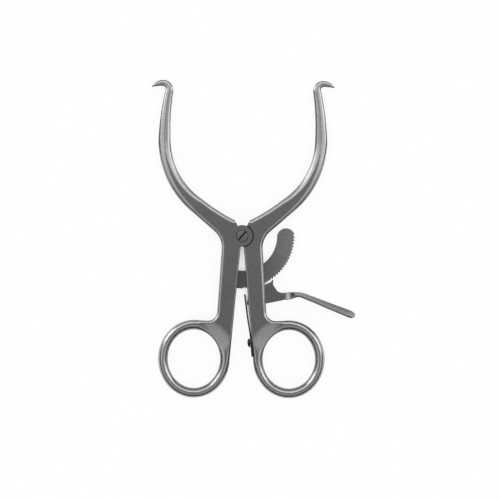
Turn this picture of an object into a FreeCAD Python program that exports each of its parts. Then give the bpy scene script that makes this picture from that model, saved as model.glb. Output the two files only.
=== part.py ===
"""Self-retaining retractor: two ringed arms on a lap joint, with sharp outward hooks.

A curved ratchet bar is riveted into the left shank and runs through a mortise in the right one.
A release lever pinned in the same mortise drops its pawl into the teeth, pushed by a leaf spring.
Millimetres. The origin is the joint axis on the plane that the instrument lies on.
+Y runs up the blades to the hooks, +X towards the release lever, +Z out of the top face.
"""
import FreeCAD, Part
import Sketcher
import math
import os

Vector = FreeCAD.Vector

# Driving dimensions: name, value in millimetres (or degrees, or a count), meaning.
SIZES = [
    # Shanks and lap joint
    ("plate_thickness", 5.0, "thickness of the shanks and of the joint"),
    ("shank_lean", 5.2, "degrees between each shank's inner face and the centre line"),
    ("shank_face_offset", 0.25, "distance of the inner face's plane from the joint axis"),
    ("shank_width_top", 8.1, "width of the shank just below the joint"),
    ("shank_width_low", 7.45, "width of the shank just above the ring"),
    ("shank_top_station", 8.0, "where the top width is measured, down the inner face"),
    ("shank_low_station", 31.0, "where the low width is measured, down the inner face"),
    ("crotch_radius", 9.5, "outer hollow between shank and blade"),
    ("edge_bevel", 1.1, "bevel of the outer edges"),
    ("disc_radius", 4.75, "half-thickness disc of the lap joint"),
    ("disc_clearance", 0.3, "gap round each disc in its recess"),
    ("lap_gap", 0.1, "gap between the two half-thickness faces"),
    ("notch_angle", 25.0, "degrees from the centre line to each stop face above the joint"),
    ("notch_radius", 7.4, "distance of the stop face's outer corner from the joint axis"),
    # Blades
    ("blade_lean", 53.4, "degrees from the centre line at which a blade leaves the joint"),
    ("blade_root_width", 7.1, "width where the bow begins"),
    ("blade_waist_width", 5.2, "width at the widest place of the bow"),
    ("blade_neck_width", 3.35, "width just below the hook"),
    ("blade_waist_thickness", 3.6, "thickness at the widest place of the bow"),
    ("blade_neck_thickness", 2.8, "thickness just below the hook"),
    ("bow_radius", 36.0, "middle line of the bow"),
    ("bow_reach", 34.3, "middle line's greatest distance from the centre line"),
    ("bow_height", 42.0, "height of that place above the joint axis"),
    ("upper_radius", 120.0, "middle line from the bow to the hook"),
    ("upper_lean", 10.3, "degrees by which the blade leans in below the hook"),
    ("root_sag", 0.45, "hollow of the blade's inner edge beside the joint"),
    ("ridge_width", 0.3, "flat left along the middle of the blade and hook"),
    ("bevel_spread", 1.8, "how fast the bevels widen from the root, 1 is evenly"),
    ("blade_fullness", 1.75, "shape of the bevels, 2 is elliptical and 1 is flat"),
    # Hooks
    ("hook_bend_radius", 2.8, "middle line of the hook's bend"),
    ("prong_width", 2.45, "width after the bend"),
    ("prong_thickness", 2.2, "thickness after the bend"),
    ("prong_radius", 8.0, "middle line of the prong"),
    ("prong_sweep", 38.0, "degrees that the prong curves on to its point"),
    ("point_size", 0.2, "width of the point"),
    # Finger rings
    ("ring_x", 20.8, "ring centre's distance from the centre line"),
    ("ring_y", 53.95, "ring centre's distance below the joint axis"),
    ("ring_opening_width", 23.0, "finger opening across the instrument"),
    ("ring_opening_length", 25.7, "finger opening along the instrument"),
    ("ring_band", 4.1, "width of the ring's band"),
    ("ring_thickness", 4.0, "thickness of the ring's band"),
    ("ring_corner", 1.65, "rounding of the band"),
    ("collar_outer_radius", 18.4, "where the shank starts to thin towards the ring"),
    ("collar_inner_radius", 14.6, "where the shank ends inside the ring's band"),
    ("collar_drop", 0.8, "how much each face of the shank drops towards the ring"),
    ("flare_radius", 4.2, "hollow between the shank's outer edge and the ring"),
    ("flare_end_angle", 8.0, "degrees from the ring's top to where the hollow runs out on it"),
    ("flare_inset", 0.2, "how far inside the ring's outer edge it ends"),
    # Joint screw
    ("screw_radius", 1.6, "shank of the joint screw"),
    ("screw_head_radius", 2.5, "head of the joint screw"),
    ("screw_head_depth", 1.0, "how deep the head sits in its arm"),
    ("screw_crown", 0.12, "how far the head's crown stands proud"),
    ("screw_slot_width", 0.7, "driver slot"),
    ("screw_slot_depth", 0.8, "driver slot"),
    ("screw_slot_turn", 49.4, "degrees from +X to the slot"),
    ("screw_head_clearance", 0.12, "gap round the joint screw's head"),
    ("running_clearance", 0.05, "radial gap of a pin or screw that turns"),
    ("seat_clearance", 0.02, "radial gap of a pin or screw that is fast in its hole"),
    # Ratchet bar
    ("bar_inner_radius", 15.3, "inner edge, about the joint axis"),
    ("bar_outer_radius", 23.1, "crests of the teeth, about the joint axis"),
    ("bar_thickness", 1.6, "thickness of the bar and of the lever"),
    ("bar_root_angle", 13.6, "degrees that the bar reaches into the left shank"),
    ("bar_tip_angle", 88.6, "degrees from straight down to the centre of the round tip"),
    ("tooth_pitch", 3.53, "degrees from crest to crest"),
    ("tooth_count", 26.0, "number of teeth"),
    ("last_crest_angle", 91.9, "degrees from straight down to the crest nearest the tip"),
    ("tooth_depth", 0.75, "depth of the teeth"),
    ("tooth_rake", 0.4, "degrees that the steep face leans, so that the pawl can swing in"),
    ("foot_top", 10.6, "bar's foot starts here, down the left shank's inner face"),
    ("foot_length", 16.0, "length of the bar's foot in the left shank"),
    ("foot_depth", 5.0, "how deep the foot sits in the left shank"),
    ("slide_clearance", 0.1, "gap on each flat side of the bar and lever in the mortise"),
    ("foot_clearance", 0.04, "gap round the bar's foot in its mortise"),
    ("rivet_radius", 0.8, "rivets through the left shank and the bar's foot"),
    ("rivet_inset", 3.1, "rivets' distance from the inner face"),
    ("rivet_first", 2.0, "first rivet's distance from the foot's upper end"),
    ("rivet_spacing", 11.4, "distance between the rivets"),
    ("mortise_above_bar", 0.4, "gap from the bar's inner edge to the mortise's upper end"),
    ("mortise_below_pin", 6.0, "depth of the mortise below the lever pin"),
    # Release lever
    ("pin_angle", 13.3, "degrees from straight down to the lever pin, about the joint axis"),
    ("pin_below_crest", 3.78, "distance of the lever pin outside the crests"),
    ("pin_radius", 0.9, "lever pin"),
    ("hub_radius", 2.2, "lever round its pin"),
    ("pawl_tooth", 16.0, "tooth that the pawl rests behind, counted from the bar's tip"),
    ("pawl_clearance", 0.12, "gap between pawl and teeth when it is home"),
    ("pawl_lift", 3.9, "degrees that the lever stands back from home in this pose"),
    ("pawl_back_angle", 2.6, "degrees from the steep face to the pawl's back"),
    ("pawl_height", 6.3, "where the pawl's back meets the neck, outside the crests"),
    ("hug_angle", 15.5, "degrees from straight down where the plate stops following the crests"),
    ("tail_reach", 3.2, "centre of the rounded tail, left of the pin"),
    ("tail_drop", 3.3, "centre of the rounded tail, below the pin"),
    ("tail_radius", 0.85, "rounded tail that the leaf spring pushes"),
    ("neck_reach", 11.6, "where the lever's plate narrows to the strip, right of the pin"),
    ("neck_drop", 0.32, "middle of the neck, below the pin"),
    ("neck_width", 3.25, "width of the neck"),
    ("strip_thickness", 1.0, "thickness of the finger strip"),
    ("strip_width_start", 3.1, "width of the strip after its twist"),
    ("strip_width_end", 6.0, "width of the strip near its rounded end"),
    ("strip_twist", 65.0, "degrees that the strip is twisted"),
    ("twist_length", 7.0, "from the neck to the end of the twist, along the instrument's width"),
    ("twist_rise", 0.9, "how much higher up the instrument the twist ends"),
    ("strip_length", 26.5, "from the end of the twist to the rounded end"),
    ("strip_slope", 20.4, "degrees by which the strip slopes down towards the ring"),
    ("strip_lift", 0.6, "how far the finger strip rises above the middle plane"),
    ("strip_bow", 0.3, "how far the finger strip bows up just outside its twist"),
    ("strip_bow_place", 5.5, "distance of that place from the end of the twist"),
    ("strip_root", 1.2, "how far the strip's root reaches into the lever's plate"),
    ("strip_edge", 0.3, "rounding of the strip's edges"),
    ("pawl_hollow", 3.0, "hollow between the pawl's back and the neck"),
    ("pawl_shoulder", 1.0, "rounding at the top of the pawl's back"),
    ("pawl_shoulder_height", 2.0, "height of that rounding above the crests"),
    # Leaf spring and its screw
    ("spring_thickness", 0.65, "leaf spring"),
    ("spring_width", 3.4, "leaf spring across the shank's thickness"),
    ("spring_foot_low", 53.0, "lower end of its foot, down the inner face"),
    ("spring_foot_high", 43.5, "where it starts to bend away"),
    ("spring_seat", 0.02, "gap between the foot and the shank"),
    ("spring_tip_rise", 4.0, "how far its upper end reaches past the tail"),
    ("spring_tail_gap", 0.06, "gap between the spring and the lever's tail"),
    ("spring_screw_station", 47.0, "spring screw, down the inner face"),
    ("spring_screw_radius", 0.9, "shank of the spring screw"),
    ("spring_screw_length", 3.6, "how deep it sits in the shank"),
    ("spring_head_radius", 1.9, "domed head"),
    ("spring_head_height", 1.2, "domed head"),
    ("spring_slot_width", 0.4, "driver slot"),
    ("spring_slot_depth", 0.5, "driver slot"),
]

doc = FreeCAD.newDocument("Retractor")
sheet = doc.addObject("Spreadsheet::Sheet", "Sizes")
for row, (name, value, meaning) in enumerate(SIZES, start=1):
    sheet.set(f"A{row}", meaning)
    sheet.set(f"B{row}", str(value))
    sheet.setAlias(f"B{row}", name)
doc.recompute()


def size(name):
    """Value of one driving dimension."""
    return float(getattr(sheet, name))


MIDDLE = size("plate_thickness") / 2

# Stations along each stretch of the lofts, and flats round each corner of their sections
BOW_STEPS, UPPER_STEPS, BEND_STEPS, PRONG_STEPS = 9, 5, 5, 5
STRIP_STEPS, END_STEPS = 14, 4
CORNER_STEPS = 2


def heading(lean):
    """Unit vector that leans by so many degrees from +Y towards +X."""
    return Vector(math.sin(math.radians(lean)), math.cos(math.radians(lean)), 0)


def across(lean):
    """Unit vector to the right of heading(lean)."""
    return Vector(math.cos(math.radians(lean)), -math.sin(math.radians(lean)), 0)


def below(angle, radius):
    """Point at a radius from the joint axis, its angle counted from straight down towards +X."""
    return Vector(radius * math.sin(math.radians(angle)), -radius * math.cos(math.radians(angle)), 0)


def raised(point, height):
    """The same point at another height."""
    return Vector(point.x, point.y, height)


def on_inner_face(station, offset=0.0):
    """Point on the right shank's inner face, so far down it and so far out of it."""
    lean = size("shank_lean")
    down = Vector(math.sin(math.radians(lean)), -math.cos(math.radians(lean)), 0)
    inward = Vector(math.cos(math.radians(lean)), math.sin(math.radians(lean)), 0)
    return down * station + inward * (size("shank_face_offset") - offset)


def taper(start, end, share, power=1.0):
    """Value that goes from start to end as share goes from 0 to 1, fastest at first if power is over 1."""
    return end + (start - end) * (1 - share) ** power


def crossing(point_a, along_a, point_b, along_b):
    """Where two lines in the plan cross."""
    cross = along_a.x * along_b.y - along_a.y * along_b.x
    gap = point_b - point_a
    return point_a + along_a * ((gap.x * along_b.y - gap.y * along_b.x) / cross)


def rounded_outline(corners):
    """Closed wire through (point, radius) corners, each turned by a tangent arc of its radius.

    A corner may also be (point, None, middle): the side that follows is then an arc through middle.
    """
    count = len(corners)
    starts, ends, arcs = [], [], []
    for i, corner in enumerate(corners):
        point, radius = corner[0], corner[1]
        if not radius:
            starts.append(point)
            ends.append(point)
            arcs.append(None)
            continue
        towards_last = (corners[i - 1][0] - point).normalize()
        towards_next = (corners[(i + 1) % count][0] - point).normalize()
        half = towards_last.getAngle(towards_next) / 2
        reach = radius / math.tan(half)
        bisector = (towards_last + towards_next).normalize()
        middle = point + bisector * (radius / math.sin(half) - radius)
        starts.append(point + towards_last * reach)
        ends.append(point + towards_next * reach)
        arcs.append(Part.Arc(starts[-1], middle, ends[-1]).toShape())
    edges = []
    for i, corner in enumerate(corners):
        if arcs[i]:
            edges.append(arcs[i])
        begin, finish = ends[i], starts[(i + 1) % count]
        if len(corner) == 3:
            edges.append(Part.Arc(begin, corner[2], finish).toShape())
        elif begin.distanceToPoint(finish) > 1e-6:
            edges.append(Part.makeLine(begin, finish))
    return Part.Wire(edges)


def plate(wire, thickness, middle=MIDDLE):
    """Flat plate of this outline, centred on a height."""
    face = Part.Face(wire)
    face.translate(Vector(0, 0, middle - thickness / 2))
    return face.extrude(Vector(0, 0, thickness))


def section(centre, side, up, width, height, corner_width, corner_height, fullness=2.0, steps=CORNER_STEPS):
    """Closed wire of a rectangle across a bar, with each corner worked round in short flats.

    A fullness of 2 gives quarter ellipses, and less brings them nearer to bevels.
    """
    points = []
    for sx, sy in ((1, 1), (-1, 1), (-1, -1), (1, -1)):
        corner = []
        for i in range(steps + 1):
            angle = math.radians(90 * i / steps)
            u = width / 2 - corner_width * (1 - abs(math.cos(angle)) ** (2 / fullness))
            w = height / 2 - corner_height * (1 - abs(math.sin(angle)) ** (2 / fullness))
            corner.append(centre + side * (sx * u) + up * (sy * w))
        points += corner if sx == sy else corner[::-1]
    return Part.makePolygon(points + points[:1])


def arc_path(start, lean, turn, radius, steps):
    """(point, lean) stations along an arc that turns by so many degrees, right if turn is positive."""
    sign = 1 if turn > 0 else -1
    centre = start + across(lean) * (radius * sign)
    stations = []
    for i in range(1, steps + 1):
        now = lean + turn * i / steps
        stations.append((centre - across(now) * (radius * sign), now))
    return stations


# Arms



def bow_start():
    """Where the blade's bow begins, on its middle line."""
    lean = size("blade_lean")
    centre = Vector(size("bow_reach") - size("bow_radius"), size("bow_height"), 0)
    return centre + across(lean) * size("bow_radius")


def ring_centre():
    """Middle of the right finger ring in the plan."""
    return Vector(size("ring_x"), -size("ring_y"), 0)


def on_ring(angle, offset):
    """Point on the ring's outer edge, its angle counted from the top, moved out by an offset."""
    half_width = size("ring_opening_width") / 2 + size("ring_band") + offset
    half_length = size("ring_opening_length") / 2 + size("ring_band") + offset
    turn = math.radians(angle)
    return ring_centre() + Vector(half_width * math.sin(turn), half_length * math.cos(turn), 0)


def arm_plate():
    """Shank, joint disc and blade root of the right arm, full thickness, with bevelled outer edges."""
    lean = size("blade_lean")
    root, half_root = bow_start(), size("blade_root_width") / 2
    root_inner = root - across(lean) * half_root
    root_outer = root + across(lean) * half_root
    top = on_inner_face(size("shank_top_station"), -size("shank_width_top"))
    low = on_inner_face(size("shank_low_station"), -size("shank_width_low"))
    shank_line = (low - top).normalize()
    crotch = crossing(top, shank_line, root_outer, heading(lean - 4))
    ring = ring_centre()
    collar = size("collar_inner_radius")
    flare_end = on_ring(-size("flare_end_angle"), -size("flare_inset"))
    flare = crossing(low, shank_line, flare_end, Vector(1, 0.05, 0))
    collar_start = ring + heading(-size("flare_end_angle")) * collar
    collar_middle = ring + heading(-45 - size("flare_end_angle") / 2) * collar
    collar_end = ring + heading(-90) * collar
    foot = crossing(on_inner_face(0), heading(-size("shank_lean")), ring, Vector(1, 0, 0))
    disc = size("disc_radius")
    disc_foot = on_inner_face(math.sqrt(disc**2 - size("shank_face_offset") ** 2))
    stop_inner = heading(size("notch_angle")) * disc
    stop_outer = heading(size("notch_angle")) * size("notch_radius")
    root_middle = (stop_outer + root_inner) / 2 + across(lean) * size("root_sag")
    wire = rounded_outline([
        (foot, 0),
        (disc_foot, None, Vector(-disc, 0, 0)),
        (stop_inner, 0),
        (stop_outer, None, root_middle),
        (root_inner, 0),
        (root_outer, 0),
        (crotch, size("crotch_radius")),
        (flare, size("flare_radius")),
        (flare_end, 0),
        (collar_start, None, collar_middle),
        (collar_end, 0),
    ])
    solid = plate(wire, size("plate_thickness"))
    bevelled = [e for e in solid.Edges if is_outer_edge(e, root_inner, stop_outer)]
    return solid.makeChamfer(size("edge_bevel"), bevelled)


def is_outer_edge(edge, root_inner, stop_outer):
    """True for the top and bottom edges on the outer side of the plate and along the blade's inner side."""
    points = [v.Point for v in edge.Vertexes]
    if len(points) < 2 or abs(points[0].z - points[1].z) > 0.01:
        return False
    middle = edge.valueAt((edge.FirstParameter + edge.LastParameter) / 2)
    blade_inner = {tuple(round(c, 3) for c in (p.x, p.y)) for p in points} == {
        tuple(round(c, 3) for c in (p.x, p.y)) for p in (root_inner, stop_outer)
    }
    lean = math.radians(size("shank_lean"))
    from_face = middle.x * math.cos(lean) + middle.y * math.sin(lean) - size("shank_face_offset")
    ring = ring_centre()
    outside_ring = middle.distanceToPoint(raised(ring, middle.z)) > size("collar_inner_radius") + size("ring_corner")
    ahead = (middle - bow_start()).dot(heading(size("blade_lean")))
    shank_side = from_face > 5.0 and outside_ring and ahead < -0.1 and middle.y < root_inner.y - 4
    return blade_inner or shank_side


def arm_blade():
    """Bow, neck and hook of the right arm, lofted from the plate's end to the point."""
    t, middle, up = size("plate_thickness"), Vector(0, 0, MIDDLE), Vector(0, 0, 1)
    edge, ridge = size("edge_bevel"), size("ridge_width")
    root, lean = bow_start(), size("blade_lean")
    wires = [section(root + middle, across(lean), up, size("blade_root_width"), t, edge, edge, 1)]
    bow = arc_path(root, lean, -lean, size("bow_radius"), BOW_STEPS)
    for i, (point, lean) in enumerate(bow, start=1):
        share = i / BOW_STEPS
        width = taper(size("blade_root_width"), size("blade_waist_width"), share, 1.6)
        height = taper(t, size("blade_waist_thickness"), share)
        flat = taper(size("blade_root_width") - 2 * edge, ridge, share, size("bevel_spread"))
        side = taper(t - 2 * edge, ridge, share, size("bevel_spread"))
        fullness = taper(1, size("blade_fullness"), share)
        bevel_width, bevel_height = (width - flat) / 2, (height - side) / 2
        wires.append(section(point + middle, across(lean), up, width, height, bevel_width, bevel_height, fullness))
    start, lean = bow[-1]
    upper = arc_path(start, lean, -size("upper_lean"), size("upper_radius"), UPPER_STEPS)
    for i, (point, lean) in enumerate(upper, start=1):
        share = i / UPPER_STEPS
        width = taper(size("blade_waist_width"), size("blade_neck_width"), share)
        height = taper(size("blade_waist_thickness"), size("blade_neck_thickness"), share)
        wires.append(oval(point + middle, lean, width, height))
    start, lean = upper[-1]
    bend = arc_path(start, lean, 90 - lean, size("hook_bend_radius"), BEND_STEPS)
    for i, (point, lean) in enumerate(bend, start=1):
        share = i / BEND_STEPS
        width = taper(size("blade_neck_width"), size("prong_width"), share)
        height = taper(size("blade_neck_thickness"), size("prong_thickness"), share)
        wires.append(oval(point + middle, lean, width, height))
    start, lean = bend[-1]
    prong = arc_path(start, lean, size("prong_sweep"), size("prong_radius"), PRONG_STEPS)
    for i, (point, lean) in enumerate(prong, start=1):
        share = math.sqrt(1 - (i / PRONG_STEPS) ** 3)
        width = size("point_size") + (size("prong_width") - size("point_size")) * share
        height = size("point_size") + (size("prong_thickness") - size("point_size")) * share
        wires.append(oval(point + middle, lean, width, height))
    return Part.makeLoft(wires, True, False)


def oval(centre, lean, width, height):
    """Nearly elliptical section of a blade or hook, with a narrow flat on each side."""
    flat = min(size("ridge_width"), width / 3)
    bevel_width, bevel_height = (width - flat) / 2, (height - flat) / 2
    fullness = size("blade_fullness")
    return section(centre, across(lean), Vector(0, 0, 1), width, height, bevel_width, bevel_height, fullness)


def arm_ring():
    """Right finger ring: a rounded band swept round an oval."""
    band = size("ring_band")
    centre = raised(ring_centre(), MIDDLE)
    half_width = (size("ring_opening_width") + band) / 2
    half_length = (size("ring_opening_length") + band) / 2
    oval_path = Part.Ellipse(centre + Vector(0, half_length, 0), centre + Vector(half_width, 0, 0), centre)
    path = Part.Wire([oval_path.toShape()])
    start = oval_path.value(0)
    corner = size("ring_corner")
    band_section = section(start, Vector(0, 1, 0), Vector(0, 0, 1), band, size("ring_thickness"), corner, corner)
    return path.makePipeShell([band_section], True, True)


def right_arm_blank():
    """The right arm before its recess, mortise and holes."""
    shank, blade = arm_plate(), arm_blade()
    centre = ring_centre()
    inner, outer, drop = size("collar_inner_radius"), size("collar_outer_radius"), size("collar_drop")
    slope = (outer - inner) / drop
    cone = Part.makeCone(inner, outer + slope, drop + 1, raised(centre, size("plate_thickness") - drop))
    mirror_plane = Vector(0, 0, MIDDLE)
    other_cone = cone.mirror(mirror_plane, Vector(0, 0, 1))
    shank = shank.cut([cone, other_cone])
    return blade.fuse([shank, arm_ring()])


def own_plane(body, role):
    """One of the body's own origin planes."""
    return next(feature for feature in body.Origin.OriginFeatures if feature.Role == role)


def bound(thing, sizes):
    """Let properties of an object follow expressions of the named dimensions."""
    for name, expression in sizes.items():
        thing.setExpression(name, expression)
    return thing


def sketch_on(body, name, role, offsets=None):
    """Outline on one of the body's own planes."""
    sketch = body.newObject("Sketcher::SketchObject", name)
    sketch.AttachmentSupport = (own_plane(body, role), "")
    sketch.MapMode = "FlatFace"
    return bound(sketch, offsets or {})


def polygon(sketch, corners):
    """Closed polygon whose corners are pairs of expressions, measured from the origin."""
    count = len(corners)
    spots = [Vector(math.cos(math.tau * i / count), math.sin(math.tau * i / count), 0) for i in range(count)]
    for i in range(count):
        sketch.addGeometry(Part.LineSegment(spots[i], spots[(i + 1) % count]), False)
    for i in range(count):
        sketch.addConstraint(Sketcher.Constraint("Coincident", i, 2, (i + 1) % count, 1))
    for i, corner in enumerate(corners):
        for kind, value, expression in zip(("DistanceX", "DistanceY"), spots[i], corner):
            index = sketch.addConstraint(Sketcher.Constraint(kind, -1, 1, i, 1, value))
            sketch.setExpression(f"Constraints[{index}]", expression)
    return sketch


def turned_body(label, profile, placement):
    """Body of revolution about its own Z axis. The profile is a polygon of (radius, height) expressions."""
    body = doc.addObject("PartDesign::Body", label)
    turning = body.newObject("PartDesign::Revolution", label + "_turning")
    sketch = polygon(sketch_on(body, label + "_profile", "XZ_Plane"), profile)
    turning.Profile = sketch
    turning.ReferenceAxis = (sketch, ["V_Axis"])
    turning.Angle = 360
    body.Tip = turning
    return bound(body, placement)


def primitive(kind, name, sizes, rotation=None, owner=None):
    """Simple solid whose sizes and place follow the named dimensions."""
    thing = owner.newObject(kind, name) if owner else doc.addObject(kind, name)
    if rotation:
        thing.Placement = FreeCAD.Placement(Vector(), rotation)
    return bound(thing, sizes)


def cut_from(label, blank, tools):
    """The blank less all of its openings."""
    group = doc.addObject("Part::MultiFuse", label + "_openings")
    group.Shapes = tools
    result = doc.addObject("Part::Cut", label)
    result.Base = blank
    result.Tool = group
    return result


UPRIGHT = Vector(0, 0, 1)
LEAN_AXIS = Vector(math.cos(math.radians(size("shank_lean"))), math.sin(math.radians(size("shank_lean"))), 0)
HALF = "Sizes.plate_thickness / 2"
PIN_RADIUS = "(Sizes.bar_outer_radius + Sizes.pin_below_crest)"
PIN_X = f"{PIN_RADIUS} * sin(Sizes.pin_angle * 1 deg)"
PIN_Y = f"-{PIN_RADIUS} * cos(Sizes.pin_angle * 1 deg)"
SHANK_OUTSIDE = "(Sizes.shank_face_offset + Sizes.shank_width_top * 1.16)"
MORTISE_TOP = f"(sqrt(Sizes.bar_inner_radius^2 - {SHANK_OUTSIDE}^2) - Sizes.mortise_above_bar)"
MORTISE_LOW = f"({PIN_RADIUS} * cos(Sizes.pin_angle * 1 deg) + Sizes.mortise_below_pin)"

# Arms

blank_shape = right_arm_blank()
right_blank = doc.addObject("Part::Feature", "right_blank")
right_blank.Shape = blank_shape
left_blank = doc.addObject("Part::Feature", "left_blank")
left_blank.Shape = blank_shape.mirror(Vector(), Vector(1, 0, 0))

right_openings = [
    primitive("Part::Cylinder", "right_recess", {
        "Radius": "Sizes.disc_radius + Sizes.disc_clearance",
        "Height": "Sizes.plate_thickness",
        "Placement.Base.z": HALF + " - Sizes.lap_gap / 2",
    }),
    primitive("Part::Cylinder", "right_screw_hole", {
        "Radius": "Sizes.screw_radius + Sizes.seat_clearance",
        "Height": "Sizes.plate_thickness",
        "Placement.Base.z": "-" + HALF,
    }),
    primitive("Part::Box", "mortise", {
        "Length": "Sizes.shank_width_top * 1.5",
        "Width": f"{MORTISE_LOW} - {MORTISE_TOP}",
        "Height": "Sizes.bar_thickness + 2 * Sizes.slide_clearance",
        "Placement.Base.x": "Sizes.shank_face_offset",
        "Placement.Base.y": f"-{MORTISE_LOW}",
        "Placement.Base.z": HALF + " - Sizes.bar_thickness / 2 - Sizes.slide_clearance",
    }),
    primitive("Part::Cylinder", "lever_pin_hole", {
        "Radius": "Sizes.pin_radius + Sizes.seat_clearance",
        "Height": "Sizes.plate_thickness * 2",
        "Placement.Base.x": PIN_X,
        "Placement.Base.y": PIN_Y,
        "Placement.Base.z": "-" + HALF,
    }),
]
SCREW_STATION_X = (
    "(Sizes.shank_face_offset {0}) * cos(Sizes.shank_lean * 1 deg)"
    " + Sizes.spring_screw_station * sin(Sizes.shank_lean * 1 deg)"
)
SCREW_STATION_Y = (
    "(Sizes.shank_face_offset {0}) * sin(Sizes.shank_lean * 1 deg)"
    " - Sizes.spring_screw_station * cos(Sizes.shank_lean * 1 deg)"
)
INTO_SHANK = FreeCAD.Rotation(UPRIGHT, LEAN_AXIS)
right_openings.append(
    primitive("Part::Cylinder", "spring_screw_hole", {
        "Radius": "Sizes.spring_screw_radius + Sizes.seat_clearance",
        "Height": "Sizes.spring_screw_length + 0.5",
        "Placement.Base.x": SCREW_STATION_X.format("- 0.2"),
        "Placement.Base.y": SCREW_STATION_Y.format("- 0.2"),
        "Placement.Base.z": HALF,
    }, INTO_SHANK)
)
right_arm = cut_from("right_arm", right_blank, right_openings)


def foot_box(kind, name, gap, proud, owner=None):
    """Box of the bar's foot, square to the left shank's inner face and so far out of it, with a gap all round."""
    inset = f"(Sizes.shank_face_offset + Sizes.foot_depth + {gap})"
    low = f"(Sizes.foot_top + Sizes.foot_length + {gap})"
    lean = "Sizes.shank_lean * 1 deg"
    return primitive(kind, name, {
        "Length": f"Sizes.foot_depth + {gap} + {proud}",
        "Width": f"Sizes.foot_length + 2 * {gap}",
        "Height": f"Sizes.bar_thickness + 2 * {gap}",
        "Placement.Base.x": f"-{inset} * cos({lean}) - {low} * sin({lean})",
        "Placement.Base.y": f"{inset} * sin({lean}) - {low} * cos({lean})",
        "Placement.Base.z": f"{HALF} - Sizes.bar_thickness / 2 - {gap}",
    }, FreeCAD.Rotation(UPRIGHT, -size("shank_lean")), owner)


def rivet_place(index):
    """Expressions for a rivet's X and Y in the left shank."""
    lean = "Sizes.shank_lean * 1 deg"
    station = f"(Sizes.foot_top + Sizes.rivet_first + {index} * Sizes.rivet_spacing)"
    inset = "(Sizes.shank_face_offset + Sizes.rivet_inset)"
    return f"-{inset} * cos({lean}) - {station} * sin({lean})", f"{inset} * sin({lean}) - {station} * cos({lean})"


def rivets(kind, name, clearance, height, bottom, owner=None):
    """The two rivets, or their holes."""
    made = []
    for index in range(2):
        x, y = rivet_place(index)
        made.append(primitive(kind, f"{name}_{index + 1}", {
            "Radius": f"Sizes.rivet_radius + {clearance}",
            "Height": height,
            "Placement.Base.x": x,
            "Placement.Base.y": y,
            "Placement.Base.z": bottom,
        }, owner=owner))
    return made


left_openings = [
    primitive("Part::Cylinder", "left_recess", {
        "Radius": "Sizes.disc_radius + Sizes.disc_clearance",
        "Height": "Sizes.plate_thickness",
        "Placement.Base.z": "-" + HALF + " + Sizes.lap_gap / 2",
    }),
    primitive("Part::Cylinder", "left_screw_hole", {
        "Radius": "Sizes.screw_radius + Sizes.running_clearance",
        "Height": "Sizes.plate_thickness",
        "Placement.Base.z": HALF,
    }),
    primitive("Part::Cylinder", "head_recess", {
        "Radius": "Sizes.screw_head_radius + Sizes.screw_head_clearance",
        "Height": "Sizes.plate_thickness",
        "Placement.Base.z": "Sizes.plate_thickness - Sizes.screw_head_depth - Sizes.running_clearance",
    }),
    foot_box("Part::Box", "foot_mortise", "Sizes.foot_clearance", "Sizes.shank_face_offset * 2"),
    *rivets("Part::Cylinder", "rivet_hole", "Sizes.seat_clearance", "Sizes.plate_thickness * 2", "-" + HALF),
]
left_arm = cut_from("left_arm", left_blank, left_openings)

# Joint screw, lever pin and rivets

joint_screw = turned_body("joint_screw", [
    ("0", "0"),
    ("Sizes.screw_radius", "0"),
    ("Sizes.screw_radius", "Sizes.plate_thickness - Sizes.screw_head_depth"),
    ("Sizes.screw_head_radius", "Sizes.plate_thickness - Sizes.screw_head_depth"),
    ("Sizes.screw_head_radius", "Sizes.plate_thickness"),
    ("Sizes.screw_head_radius - 1.5 * Sizes.screw_crown", "Sizes.plate_thickness + Sizes.screw_crown"),
    ("0", "Sizes.plate_thickness + Sizes.screw_crown"),
], {})
lever_pin = turned_body("lever_pin", [
    ("0", "0"),
    ("Sizes.pin_radius", "0"),
    ("Sizes.pin_radius", "Sizes.plate_thickness"),
    ("0", "Sizes.plate_thickness"),
], {"Placement.Base.x": PIN_X, "Placement.Base.y": PIN_Y})
bar_rivets = doc.addObject("Part::Compound", "bar_rivets")
bar_rivets.Links = rivets("Part::Cylinder", "rivet", "0", "Sizes.plate_thickness", "0")


def driver_slot(body, width, depth, top, reach, turn="0", from_below=False):
    """Slot across a screw's head, so wide and deep, starting at the head's outer face."""
    sketch = sketch_on(body, body.Label + "_slot_outline", "XY_Plane", {
        "AttachmentOffset.Base.z": top,
        "AttachmentOffset.Rotation.Angle": turn,
    })
    polygon(sketch, [
        (f"-{reach}", f"-{width} / 2"),
        (reach, f"-{width} / 2"),
        (reach, f"{width} / 2"),
        (f"-{reach}", f"{width} / 2"),
    ])
    slot = body.newObject("PartDesign::Pocket", body.Label + "_slot")
    slot.Profile = sketch
    slot.Reversed = from_below
    bound(slot, {"Length": depth})
    body.Tip = slot


driver_slot(joint_screw, "Sizes.screw_slot_width", "Sizes.screw_slot_depth",
            "Sizes.plate_thickness + Sizes.screw_crown", "(Sizes.screw_head_radius * 1.5)", "Sizes.screw_slot_turn")

# Ratchet bar

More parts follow.
